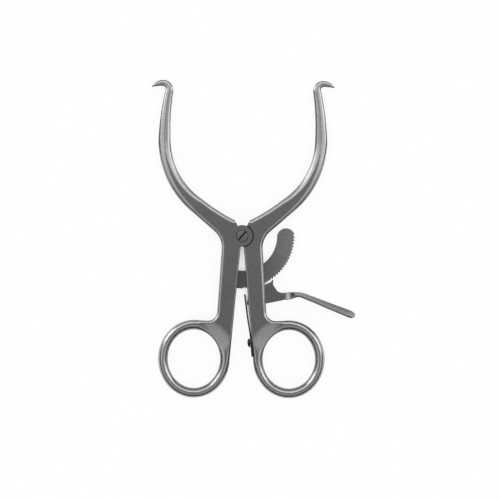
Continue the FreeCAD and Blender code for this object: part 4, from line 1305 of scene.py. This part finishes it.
@dataclass
class RatchetBar:
    """Curved bar with saw teeth along its outer edge, grown by a rule.

    Its sizes are in millimetres and its angles in degrees. Each column of the grid that it is bent
    from is one section of the bar, from the round tip to the root. There are three columns a tooth:
    crest, foot of the steep face, and end of the gentle slope. The rows go round the section, whose
    edges are broken.
    """

    workshop: Workshop
    inner_radius: float = 15.3
    outer_radius: float = 23.1
    thickness: float = 1.6
    root_angle: float = 13.6
    tip_angle: float = 88.6
    tip_turn: float = 66.0
    tip_columns: int = 14
    tooth_pitch: float = 3.53
    tooth_count: int = 26
    tooth_columns: int = 3
    tooth_depth: float = 0.75
    tooth_rake: float = 0.4
    tooth_slope: float = 0.93
    last_crest: float = 91.9
    last_drop: float = 0.19
    broken_edge: float = 0.1
    corners: int = 8
    sharp: float = 30.0

    def build(self, arms: Arms) -> None:
        """Makes and dresses the bar with its foot.

        Args:
            arms: The arms, which hold the foot's place.
        """
        bar = self.toothed_bar()
        mesh = bmesh.new()
        mesh.from_mesh(bar.data)
        bmesh.ops.recalc_face_normals(mesh, faces=mesh.faces)
        mesh.to_mesh(bar.data)
        mesh.free()
        half = self.thickness / 2
        low = (-arms.foot_depth, -arms.foot_top - arms.foot_length, MIDDLE - half)
        high = (0, -arms.foot_top, MIDDLE + half)
        foot = self.workshop.block("foot", arms.foot_axes(), low, high)
        self.workshop.machine(bar, Slot.BAR, arms.rivet_holes("foot_hole"), foot, self.sharp)
        self.workshop.dress(bar, Slot.BAR, Body.LEFT, "ratchet_bar")

    def sizes(self) -> dict[str, float]:
        """Gathers what the tree's inputs get.

        Returns:
            Name and value of each, in metres and radians.
        """
        lengths = {
            "Middle Radius": (self.inner_radius + self.outer_radius) / 2,
            "Half Width": (self.outer_radius - self.inner_radius) / 2,
            "Half Thickness": self.thickness / 2, "Height": MIDDLE, "Last Drop": self.last_drop,
            "Tooth Depth": self.tooth_depth, "Broken Edge": self.broken_edge,
        }
        angles = {
            "Root Angle": self.root_angle, "Tip Angle": self.tip_angle, "Tip Turn": self.tip_turn,
            "Pitch": self.tooth_pitch, "Last Crest": self.last_crest, "Rake": self.tooth_rake,
        }
        numbers = {
            "Tip Columns": self.tip_columns, "Slope": self.tooth_slope,
            "Tooth Columns": self.tooth_columns * self.tooth_count,
        }
        return {
            **{name: value * MM for name, value in lengths.items()},
            **{name: math.radians(value) for name, value in angles.items()},
            **{name: float(value) for name, value in numbers.items()},
        }

    def rules(self) -> tuple[tuple, ...]:
        """Rules that place each point of the grid.

        Returns:
            For each rule its result, a Math node's operation, and what that works on: the tree's
            inputs, earlier results, numbers, or further operations.
        """
        rows, corner = self.corners + 1, math.tau / self.corners
        per_tooth, half, near = float(self.tooth_columns), 0.5, 0.1
        return (
            ("column", "FLOOR", ("DIVIDE", "Index", rows)),
            ("turn", "MULTIPLY_ADD", ("MODULO", "Index", rows), corner, corner / 2),
            ("u", "COSINE", "turn"), ("v", "SINE", "turn"),
            ("size_u", "ABSOLUTE", "u"), ("size_v", "ABSOLUTE", "v"),
            ("side", "SIGN", "u"), ("level", "SIGN", "v"),
            ("on_face", "GREATER_THAN", "size_v", "size_u"),
            ("inset", "MULTIPLY", "on_face", "Broken Edge"),
            ("sunk", "SUBTRACT", "Broken Edge", "inset"),
            ("number", "SUBTRACT", "column", "Tip Columns"),
            ("in_tip", "LESS_THAN", "number", -half),
            ("not_tip", "SUBTRACT", 1.0, "in_tip"),
            ("tooth", "FLOOR", ("DIVIDE", "number", per_tooth)),
            ("phase", "MULTIPLY_ADD", "tooth", -per_tooth, "number"),
            ("at_foot", "COMPARE", "phase", 1.0, near), ("at_slope", "COMPARE", "phase", 2.0, near),
            ("past", "GREATER_THAN", "number", ("ADD", "Tooth Columns", half)),
            ("closed", "GREATER_THAN", "number", ("ADD", "Tooth Columns", 1 + half)),
            ("open", "SUBTRACT", 1.0, "closed"),
            ("gentle", "MULTIPLY", "at_slope", ("MULTIPLY", "Slope", "Pitch")),
            ("shift", "MULTIPLY_ADD", "at_foot", "Rake", "gentle"),
            ("turned", "MULTIPLY_ADD", "tooth", "Pitch", "shift"),
            ("along", "SUBTRACT", "Last Crest", "turned"),
            ("to_root", "MULTIPLY", "past", ("ADD", "along", "Root Angle")),
            ("regular", "SUBTRACT", "along", "to_root"),
            ("to_tip", "MULTIPLY", "in_tip", ("SUBTRACT", "Tip Angle", "regular")),
            ("angle", "ADD", "regular", "to_tip"),
            ("tip_step", "DIVIDE", "Tip Turn", ("SUBTRACT", "Tip Columns", 1.0)),
            ("tip_share", "MULTIPLY", "column", "tip_step"),
            ("tip_along", "MULTIPLY", "in_tip", ("COSINE", "tip_share")),
            ("tip_lost", "MULTIPLY", "in_tip", ("SUBTRACT", 1.0, ("SINE", "tip_share"))),
            ("reach", "SUBTRACT", "Half Width", "inset"),
            ("kept", "MULTIPLY", "reach", ("SUBTRACT", 1.0, "tip_lost")),
            ("width", "MULTIPLY", "kept", "open"),
            ("outside", "GREATER_THAN", "side", 0.0),
            ("first", "COMPARE", "number", 0.0, near),
            ("foot_fall", "MULTIPLY", "at_foot", "Tooth Depth"),
            ("foot_drop", "MULTIPLY", "foot_fall", ("SUBTRACT", 1.0, "past")),
            ("drop", "MULTIPLY_ADD", "first", "Last Drop", "foot_drop"),
            ("cut", "MULTIPLY", ("MULTIPLY", "drop", "outside"), "not_tip"),
            ("radius", "SUBTRACT", ("MULTIPLY_ADD", "side", "width", "Middle Radius"), "cut"),
            ("ahead", "MULTIPLY", "reach", "tip_along"),
            ("sine", "SINE", "angle"), ("cosine", "COSINE", "angle"),
            ("x", "MULTIPLY_ADD", "radius", "sine", ("MULTIPLY", "ahead", "cosine")),
            ("y", "SUBTRACT", ("MULTIPLY", "ahead", "sine"), ("MULTIPLY", "radius", "cosine")),
            ("half", "MULTIPLY", ("SUBTRACT", "Half Thickness", "sunk"), "open"),
            ("z", "MULTIPLY_ADD", "level", "half", "Height"),
        )

    def toothed_bar(self) -> bpy.types.Object:
        """Bends a grid into the toothed bar.

        Returns:
            The bar without its foot, in metres.
        """
        sizes = self.sizes()
        bar_tree = PieceTree("toothed_bar", sizes)
        tree = bar_tree.tree
        known = {name: bar_tree.given[name] for name in sizes}
        known["Index"] = add_node(tree, "GeometryNodeInputIndex").outputs[0]

        def worked(operation: str, *items: object) -> bpy.types.NodeSocket:
            """Adds the node of one operation.

            Args:
                operation: The Math node's operation.
                items: What it works on.

            Returns:
                Its result.
            """
            taken = {place: worked(*item) if isinstance(item, tuple) else known.get(item, item)
                     for place, item in enumerate(items)}
            return add_node(tree, "ShaderNodeMath", taken, operation=operation).outputs[0]

        for name, operation, *items in self.rules():
            known[name] = worked(operation, *items)
        columns = self.tip_columns + self.tooth_columns * (self.tooth_count + 1)
        grid = add_node(tree, "GeometryNodeMeshGrid", {
            "Vertices X": columns, "Vertices Y": self.corners + 1,
        })
        place = add_node(tree, "ShaderNodeCombineXYZ", {
            0: known["x"], 1: known["y"], 2: known["z"],
        })
        bent = add_node(tree, "GeometryNodeSetPosition", {
            "Geometry": grid.outputs["Mesh"], "Position": place.outputs[0],
        })
        closed = add_node(tree, "GeometryNodeMergeByDistance", {
            "Geometry": bent.outputs["Geometry"], "Distance": MERGE * MM,
        })
        return bar_tree.grow("ratchet_bar_cut", closed.outputs["Geometry"],
                             self.workshop.finish(FINISHES[Slot.BAR]))


@dataclass
class LeverPlate(Relief):
    """Flat part of the release lever: pawl, hub and rounded tail, as it stands in this pose."""

    step: float = 0.11
    grid: float = 0.5
    insets: tuple[float, ...] = (0.06, 0.12, 0.3)
    clear: float = 0.5
    thickness: float = 1.6
    rim: Rim = Rim(0.12, 0.14, 1.0)
    pin: complex = Arms.pin_place
    hub_radius: float = 2.2
    hub_left: complex = -1.1 + 0.9j
    hub_below: complex = 0.8 - 1.8j
    hub_turns: tuple[float, float] = (0.8, 0.7)
    crest: float = RatchetBar.outer_radius
    tooth_depth: float = RatchetBar.tooth_depth
    tooth_slope: float = 3.283
    tooth_rake: float = RatchetBar.tooth_rake
    gap: float = 0.12
    heel_gap: float = 1.6
    step_gap: float = 1.2
    steep: float = 35.42
    lift: float = 3.9
    back_angle: float = 2.6
    pawl_height: float = 6.3
    pawl_shoulder: float = 1.0
    pawl_shoulder_height: float = 2.0
    pawl_hollow: float = 3.0
    hug_angle: float = 15.5
    tail: complex = -3.2 - 3.3j
    tail_radius: float = 0.85
    neck: complex = 11.6 - 0.32j
    neck_width: float = 3.25

    def pawl_point(self, angle: float, radius: float) -> complex:
        """Point of the pawl where it lies when it is home, turned back to this pose."""
        home = below(angle, radius) - self.pin
        return self.pin + home * cmath.exp(-1j * math.radians(self.lift))

    def round_end_corner(self, before: complex, after: complex, centre: complex,
                         radius: float) -> complex:
        """Corner between two outline points such that both of its sides touch a circle.

        Args:
            before: The outline point before it.
            after: The outline point after it.
            centre: Centre of the circle.
            radius: Radius of the circle.

        Returns:
            The corner.
        """
        first = math.asin(radius / abs(centre - before))
        second = math.asin(radius / abs(centre - after))
        return crossing(before, (centre - before) * cmath.exp(-1j * first),
                        after, (centre - after) * cmath.exp(1j * second))

    def edge_lines(self) -> list[Line]:
        """The plate's one edge.

        Returns:
            Its points, anticlockwise, with the same rim all round.
        """
        crest, gap, back = self.crest, self.gap, self.steep - self.back_angle
        gap_angle = math.degrees(gap / crest)
        heel_angle, heel_radius = self.steep - self.tooth_slope, crest + gap * self.heel_gap
        root_angle = self.steep - self.tooth_rake - gap_angle
        hug_middle = self.pawl_point((heel_angle + self.hug_angle) / 2, heel_radius)
        hub_left = self.pin + self.hub_radius * self.hub_left
        hub_below = self.pin + self.hub_radius * self.hub_below
        hub_turns = [self.hub_radius * share for share in self.hub_turns]
        tail, neck = self.pin + self.tail, self.pin + self.neck
        tail_corner = self.round_end_corner(hub_left, hub_below, tail, self.tail_radius)
        side = 1j * self.neck_width / 2
        line = turned_outline([
            (self.pawl_point(root_angle, crest - self.tooth_depth + gap), 0.0),
            (self.pawl_point(heel_angle, heel_radius), 0.0, hug_middle),
            (self.pawl_point(self.hug_angle, heel_radius), 0.0),
            (hub_left, hub_turns[0]),
            (tail_corner, self.tail_radius),
            (hub_below, hub_turns[1]),
            (neck - side, 0.0),
            (neck + side, 0.0),
            (below(back, crest + self.pawl_height), self.pawl_hollow),
            (below(back, crest + self.pawl_shoulder_height), self.pawl_shoulder),
            (self.pawl_point(self.steep - gap_angle * self.step_gap, crest + gap), 0.0),
        ])
        return [(line, np.tile(self.rim.numbers(), (len(line), 1)))]

    def half_thickness(self, points: np.ndarray) -> np.ndarray:
        """The plate is flat."""
        return np.full(len(points), self.thickness / 2)


@dataclass
class Spline:
    """Smooth line through points in the plan, with its own direction at each end."""

    points: list[complex]
    start_way: complex
    end_way: complex
    fineness: int = 40
    near: float = 0.05

    def __post_init__(self) -> None:
        """Works out closely spaced places along the line."""
        points = np.array(self.points)
        spans = np.abs(np.diff(points))
        ways = np.zeros(len(points), complex)
        chords = np.diff(points) / spans
        blended = chords[:-1] * spans[1:] + chords[1:] * spans[:-1]
        ways[1:-1] = blended / (spans[1:] + spans[:-1])
        ways[0] = self.start_way / abs(self.start_way)
        ways[-1] = self.end_way / abs(self.end_way)
        t = np.linspace(0, 1, self.fineness + 1)[:-1]
        line = []
        for k, span in enumerate(spans):
            line.append((2 * t**3 - 3 * t**2 + 1) * points[k]
                        + (t**3 - 2 * t**2 + t) * span * ways[k]
                        + (3 * t**2 - 2 * t**3) * points[k + 1]
                        + (t**3 - t**2) * span * ways[k + 1])
        self.line = np.concatenate([*line, points[-1:]])
        self.marks = marks_along(self.line)
        self.length = float(self.marks[-1])

    def at(self, distance: float) -> tuple[complex, complex]:
        """Finds a place on the line.

        Args:
            distance: Millimetres from its start.

        Returns:
            The place and the unit direction there.
        """
        places = np.array([max(0.0, distance - self.near), distance,
                           min(self.length, distance + self.near)])
        before, point, after = points_at(places, self.marks, self.line).tolist()
        return point, (after - before) / abs(after - before)


@dataclass
class StripSection:
    """Rounded rectangle across a strip, in millimetres.

    The flats are held level beside each rounding, so that they shade as flats.
    """

    centre: Vector
    side: Vector
    up: Vector
    width: float
    height: float
    corner_width: float
    corner_height: float
    steps: int = 3
    hold: float = 0.05

    def corners(self) -> list[Vector]:
        """Goes round the section.

        Returns:
            Its corners in order.
        """
        points = []
        for sx, sy in ((1, 1), (-1, 1), (-1, -1), (1, -1)):
            corner = []
            for k in range(self.steps + 1):
                turn = math.radians(90 * k / self.steps)
                out = self.width / 2 - self.corner_width * (1 - math.cos(turn))
                rise = self.height / 2 - self.corner_height * (1 - math.sin(turn))
                corner.append(self.centre + self.side * (sx * out) + self.up * (sy * rise))
            corner = [corner[0] - self.up * (sy * self.hold), *corner,
                      corner[-1] - self.side * (sx * self.hold)]
            points += corner if sx == sy else corner[::-1]
        return points


def skinned(sections: list[StripSection]) -> tuple[np.ndarray, list]:
    """Lays a closed skin over sections.

    Args:
        sections: The sections in order.

    Returns:
        Its points and the point numbers of its faces.
    """
    rings = [section.corners() for section in sections]
    count, total = len(rings[0]), len(rings[0]) * len(rings)
    ends = [tuple(range(count))[::-1], tuple(range(total - count, total))]
    points = np.array([tuple(point) for ring in rings for point in ring])
    return points, belts(len(rings), count) + ends


@dataclass
class ReleaseLever:
    """Lever plate welded to its twisted finger strip, in millimetres."""

    workshop: Workshop
    thickness: float = 1.0
    width_start: float = 3.1
    width_end: float = 5.82
    corner: float = 0.16
    corner_share: float = 0.4
    neck_step: float = 0.1
    twist: float = 65.0
    twist_length: float = 7.0
    twist_rise: float = 0.9
    length: float = 26.45
    slope: float = 20.4
    lift: float = 0.6
    bow: float = 0.3
    bow_place: float = 5.5
    root: float = 1.2
    stations: int = 70
    end_stations: int = 12
    end_width: float = 0.03
    sharp: float = 35.0

    def build(self, arms: Arms) -> None:
        """Makes and dresses the lever.

        Args:
            arms: The arms, which hold its pin.
        """
        plate = LeverPlate(self.workshop)
        lever = plate.build("release_lever_filed")
        hole = arms.bore("pin_hole", arms.pin_radius + TURNING_FIT, place=arms.pin_axes())
        self.workshop.machine(lever, Slot.LEVER, [hole], self.strip(plate), self.sharp)
        self.workshop.dress(lever, Slot.LEVER, Body.LEVER, "release_lever")

    def strip(self, plate: LeverPlate) -> bpy.types.Object:
        """Makes the finger strip: it leaves the neck flat, twists, and widens to a rounded end.

        Args:
            plate: The plate that it grows out of.

        Returns:
            The closed strip.
        """
        neck = plate.pin + plate.neck
        knee = neck + complex(self.twist_length, self.twist_rise)
        along = across(self.slope)
        rise = along * 1j * self.bow
        end = knee + along * self.length
        path = Spline([
            neck - self.root, (neck + knee) / 2, knee, knee + along * self.bow_place + rise,
            (knee + end + rise) / 2, end,
        ], 1 + 0j, along)
        tip = self.width_end / 2
        shares = [(place, 1.0) for place in np.linspace(0, path.length - tip, self.stations)]
        for turn in np.radians(np.linspace(0, 90, self.end_stations + 1))[1:]:
            place = path.length - tip * (1 - math.sin(turn))
            shares.append((place, max(self.end_width, math.cos(turn))))
        marks = (neck.real, knee.real, end.real)
        sections = [self.section(plate, *path.at(place), share, marks) for place, share in shares]
        return self.workshop.solid("finger_strip", *skinned(sections), self.sharp)

    def section(self, plate: LeverPlate, point: complex, way: complex, narrowing: float,
                marks: tuple[float, float, float]) -> StripSection:
        """Section of the strip.

        Args:
            plate: The plate that it grows out of.
            point: Place on its middle line.
            way: Direction of the line there.
            narrowing: Share of the width that the rounded end leaves.
            marks: X of the neck, of the twist's end and of the strip's end.

        Returns:
            The section at that place.
        """
        neck, knee, end = marks
        smooth = eased(min(1.0, max(0.0, (point.real - neck) / (knee - neck))))
        outward = min(1.0, max(0.0, (point.real - knee) / (end - knee)))
        width = between(plate.neck_width - self.neck_step, self.width_start, smooth)
        width = (width + (self.width_end - self.width_start) * outward) * narrowing
        tangent = Vector((way.real, way.imag, 0))
        turn = Matrix.Rotation(math.radians(-self.twist * smooth), 3, tangent)
        side = turn @ Vector((way.imag, -way.real, 0))
        centre = Vector((point.real, point.imag, MIDDLE + self.lift * smooth))
        return StripSection(centre, side, tangent.cross(side), width, self.thickness,
                            min(self.corner, width * self.corner_share), self.corner)


@dataclass
class LeafSpring:
    """Spring strip from its screwed foot on the right shank to the lever's tail, in millimetres."""

    workshop: Workshop
    thickness: float = 0.65
    width: float = 3.4
    corner: float = 0.12
    foot_low: float = 53.0
    foot_high: float = 43.5
    seat: float = 0.02
    middle_share: float = 0.6
    tip_rise: float = 4.0
    tip_share: float = 1.14
    tail_gap: float = 0.06
    stations: int = 60
    hole_reach: tuple[float, float] = (-3.0, 2.0)
    sharp: float = 35.0

    def build(self, arms: Arms) -> None:
        """Makes the spring as it lies bent between the shank and the lever.

        Args:
            arms: The arms, which hold its screw.
        """
        plate = LeverPlate(self.workshop)
        down, into = -heading(-SHANK_LEAN), across(-SHANK_LEAN)
        tail = plate.pin + plate.tail
        tail_station = (tail * down.conjugate()).real
        tail_depth = (tail * into.conjugate()).real
        touch = FACE_OFFSET - tail_depth + plate.tail_radius + self.tail_gap

        def beside(station: float, offset: float) -> complex:
            """Point of the middle line so far down the face and so far out of it."""
            return down * station + into * (FACE_OFFSET - offset - self.thickness / 2)

        path = Spline([
            beside(self.foot_low, self.seat), beside(self.foot_high, self.seat),
            beside((self.foot_high + tail_station) / 2, touch * self.middle_share),
            beside(tail_station, touch),
            beside(tail_station - self.tip_rise, touch * self.tip_share),
        ], -down, -down)
        sections = []
        for place in np.linspace(0, path.length, self.stations):
            point, way = path.at(place)
            sections.append(StripSection(
                Vector((point.real, point.imag, MIDDLE)), Vector((way.imag, -way.real, 0)),
                Vector((0, 0, 1)), self.thickness, self.width, self.corner, self.corner))
        spring = self.workshop.solid("leaf_spring_bent", *skinned(sections), self.sharp)
        hole = arms.bore("screw_hole", arms.spring_screw_radius + TURNING_FIT, *self.hole_reach,
                         arms.spring_screw_axes())
        self.workshop.machine(spring, Slot.SPRING, [hole], sharp=self.sharp)
        self.workshop.dress(spring, Slot.SPRING, None, "leaf_spring")
        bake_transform(spring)


@dataclass
class Lamp:
    """Soft lamp that looks at the joint: its place in metres and its power in watts."""

    name: str
    place: tuple[float, float, float]
    watts: float
    size: tuple[float, float] = (0.5, 0.8)

    def hang(self) -> None:
        """Hangs the lamp."""
        data = bpy.data.lights.new(self.name, "AREA")
        data.shape = "RECTANGLE"
        data.size, data.size_y = self.size
        data.energy = self.watts
        lamp = bpy.data.objects.new(self.name, data)
        lamp.location = self.place
        lamp.rotation_euler = (-Vector(self.place)).to_track_quat("-Z", "Y").to_euler()
        bpy.context.collection.objects.link(lamp)


@dataclass
class Studio:
    """White table, soft light and the camera of the photograph.

    The tent's levels are how bright it is at an angle in degrees from straight overhead.
    """

    frame_width_mm: float = 219.0
    centre_x_mm: float = 3.443
    centre_y_mm: float = -6.176
    roll_degrees: float = 0.4
    camera_height_mm: float = 700.0
    sensor_mm: float = 36.0
    table_size_m: float = 6.0
    table_drop_m: float = 0.00005
    table_colour: str = "F4F4F4"
    table_roughness: float = 0.7
    contact_reach_mm: float = 12.0
    contact_share: float = 0.1
    contact_power: float = 7.0
    contact_samples: int = 8
    gap_closed: float = 0.02
    gap_open: float = 0.18
    gap_level: float = 0.2
    far_side_gain: float = 0.75
    white: tuple[float, ...] = (1.0, 1.0, 1.0, 1.0)
    tent_levels: tuple[tuple[float, float], ...] = (
        (0.0, 0.165), (14.0, 0.185), (22.0, 0.55), (29.0, 0.82),
        (42.0, 0.76), (55.0, 0.48), (70.0, 0.12), (90.0, 0.04),
    )
    lamps: tuple[Lamp, ...] = (
        Lamp("left_soft_lamp", (-0.9, 0.5, 0.55), 2.0),
        Lamp("right_soft_lamp", (0.9, 0.3, 0.6), 1.4),
    )

    def build(self) -> None:
        """Makes table, world, lamps and camera."""
        self.table()
        self.world()
        for lamp in self.lamps:
            lamp.hang()
        self.camera()

    def table(self) -> None:
        """Lays the white table under the instrument."""
        data = bpy.data.meshes.new("white_table")
        half = self.table_size_m / 2
        corners = [(-half, -half, 0), (half, -half, 0), (half, half, 0), (-half, half, 0)]
        data.from_pydata(corners, [], [(0, 1, 2, 3)])
        table = bpy.data.objects.new("white_table", data)
        table.location.z = -self.table_drop_m
        bpy.context.collection.objects.link(table)
        data.materials.append(self.table_paint())

    def table_paint(self) -> bpy.types.Material:
        """White paint that the camera and the steel see as white, apart from the shade of contact.

        Returns:
            The material.
        """
        made = bpy.data.materials.new("white_table_paint")
        made.use_nodes = True
        tree = made.node_tree
        tree.nodes.clear()
        paint = add_node(tree, "ShaderNodeBsdfPrincipled", {
            "Base Color": linear(self.table_colour), "Roughness": self.table_roughness,
        })
        contact = add_node(tree, "ShaderNodeAmbientOcclusion", {
            "Distance": self.contact_reach_mm * MM,
        }, samples=self.contact_samples).outputs["AO"]
        deep = add_node(tree, "ShaderNodeMath", {0: contact, 1: self.contact_power},
                        operation="POWER")
        faint = add_node(tree, "ShaderNodeMapRange", {
            "Value": contact, "To Min": 1 - self.contact_share,
        })
        narrow = add_node(tree, "ShaderNodeMapRange", {
            "Value": contact, "From Min": self.gap_closed, "From Max": self.gap_open,
            "To Min": self.gap_level,
        })
        shaded = add_node(tree, "ShaderNodeMath", {
            0: faint.outputs["Result"], 1: narrow.outputs["Result"],
        }, operation="MULTIPLY")
        rays = add_node(tree, "ShaderNodeLightPath").outputs
        level = add_node(tree, "ShaderNodeMix", {
            0: rays["Is Camera Ray"], LEVEL_A: deep.outputs[0], LEVEL_B: shaded.outputs[0],
        })
        white = add_node(tree, "ShaderNodeEmission", {
            "Color": self.white, "Strength": level.outputs[0],
        })
        seen = add_node(tree, "ShaderNodeMath", {
            0: rays["Is Camera Ray"], 1: rays["Is Glossy Ray"],
        }, operation="MAXIMUM")
        mixed = add_node(tree, "ShaderNodeMixShader", {
            0: seen.outputs[0], 1: paint.outputs["BSDF"], 2: white.outputs["Emission"],
        })
        add_node(tree, "ShaderNodeOutputMaterial", {"Surface": mixed.outputs["Shader"]})
        return made

    def world(self) -> None:
        """Soft light that is bright half-way up and dim overhead, as round a camera in a tent."""
        world = bpy.data.worlds.new("light_tent")
        bpy.context.scene.world = world
        world.use_nodes = True
        tree = world.node_tree
        tree.nodes.clear()
        direction = add_node(tree, "ShaderNodeTexCoord").outputs["Generated"]
        split = add_node(tree, "ShaderNodeSeparateXYZ", {0: direction})
        ramp = add_node(tree, "ShaderNodeValToRGB", {0: split.outputs["Z"]})
        steps = ramp.color_ramp.elements
        while len(steps) < len(self.tent_levels):
            steps.new(0.5)
        for step, (degrees, level) in zip(steps, reversed(self.tent_levels)):
            step.position = math.cos(math.radians(degrees))
            step.color = (level, level, level, 1.0)
        lean = add_node(tree, "ShaderNodeMath", {
            0: split.outputs["Y"], 1: self.far_side_gain, 2: 1.0,
        }, operation="MULTIPLY_ADD")
        tent = add_node(tree, "ShaderNodeBackground", {
            "Color": ramp.outputs["Color"], "Strength": lean.outputs[0],
        })
        white = add_node(tree, "ShaderNodeBackground", {"Color": self.white, "Strength": 1.0})
        seen = add_node(tree, "ShaderNodeLightPath").outputs["Is Camera Ray"]
        mixed = add_node(tree, "ShaderNodeMixShader", {
            0: seen, 1: tent.outputs["Background"], 2: white.outputs["Background"],
        })
        add_node(tree, "ShaderNodeOutputWorld", {"Surface": mixed.outputs["Shader"]})

    def camera(self) -> None:
        """Sets the long lens overhead, for an instrument that lay slightly turned in the frame."""
        data = bpy.data.cameras.new("overhead_camera")
        data.sensor_width = self.sensor_mm
        data.lens = self.sensor_mm * self.camera_height_mm / self.frame_width_mm
        camera = bpy.data.objects.new("overhead_camera", data)
        height = self.camera_height_mm + MIDDLE
        camera.location = (self.centre_x_mm * MM, self.centre_y_mm * MM, height * MM)
        camera.rotation_euler.z = math.radians(self.roll_degrees)
        bpy.context.collection.objects.link(camera)
        bpy.context.scene.camera = camera


def main() -> None:
    """Builds the instrument piece by piece in its studio."""
    logging.basicConfig(level=logging.INFO, format="%(name)s %(message)s")
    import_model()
    bpy.context.scene.view_settings.view_transform = "Standard"
    Studio().build()
    workshop = Workshop()
    arms = Arms(workshop)
    arms.build()
    RatchetBar(workshop).build(arms)
    ReleaseLever(workshop).build(arms)
    LeafSpring(workshop).build(arms)
    Screws(workshop, arms).build()


if __name__ == "__main__":
    main()
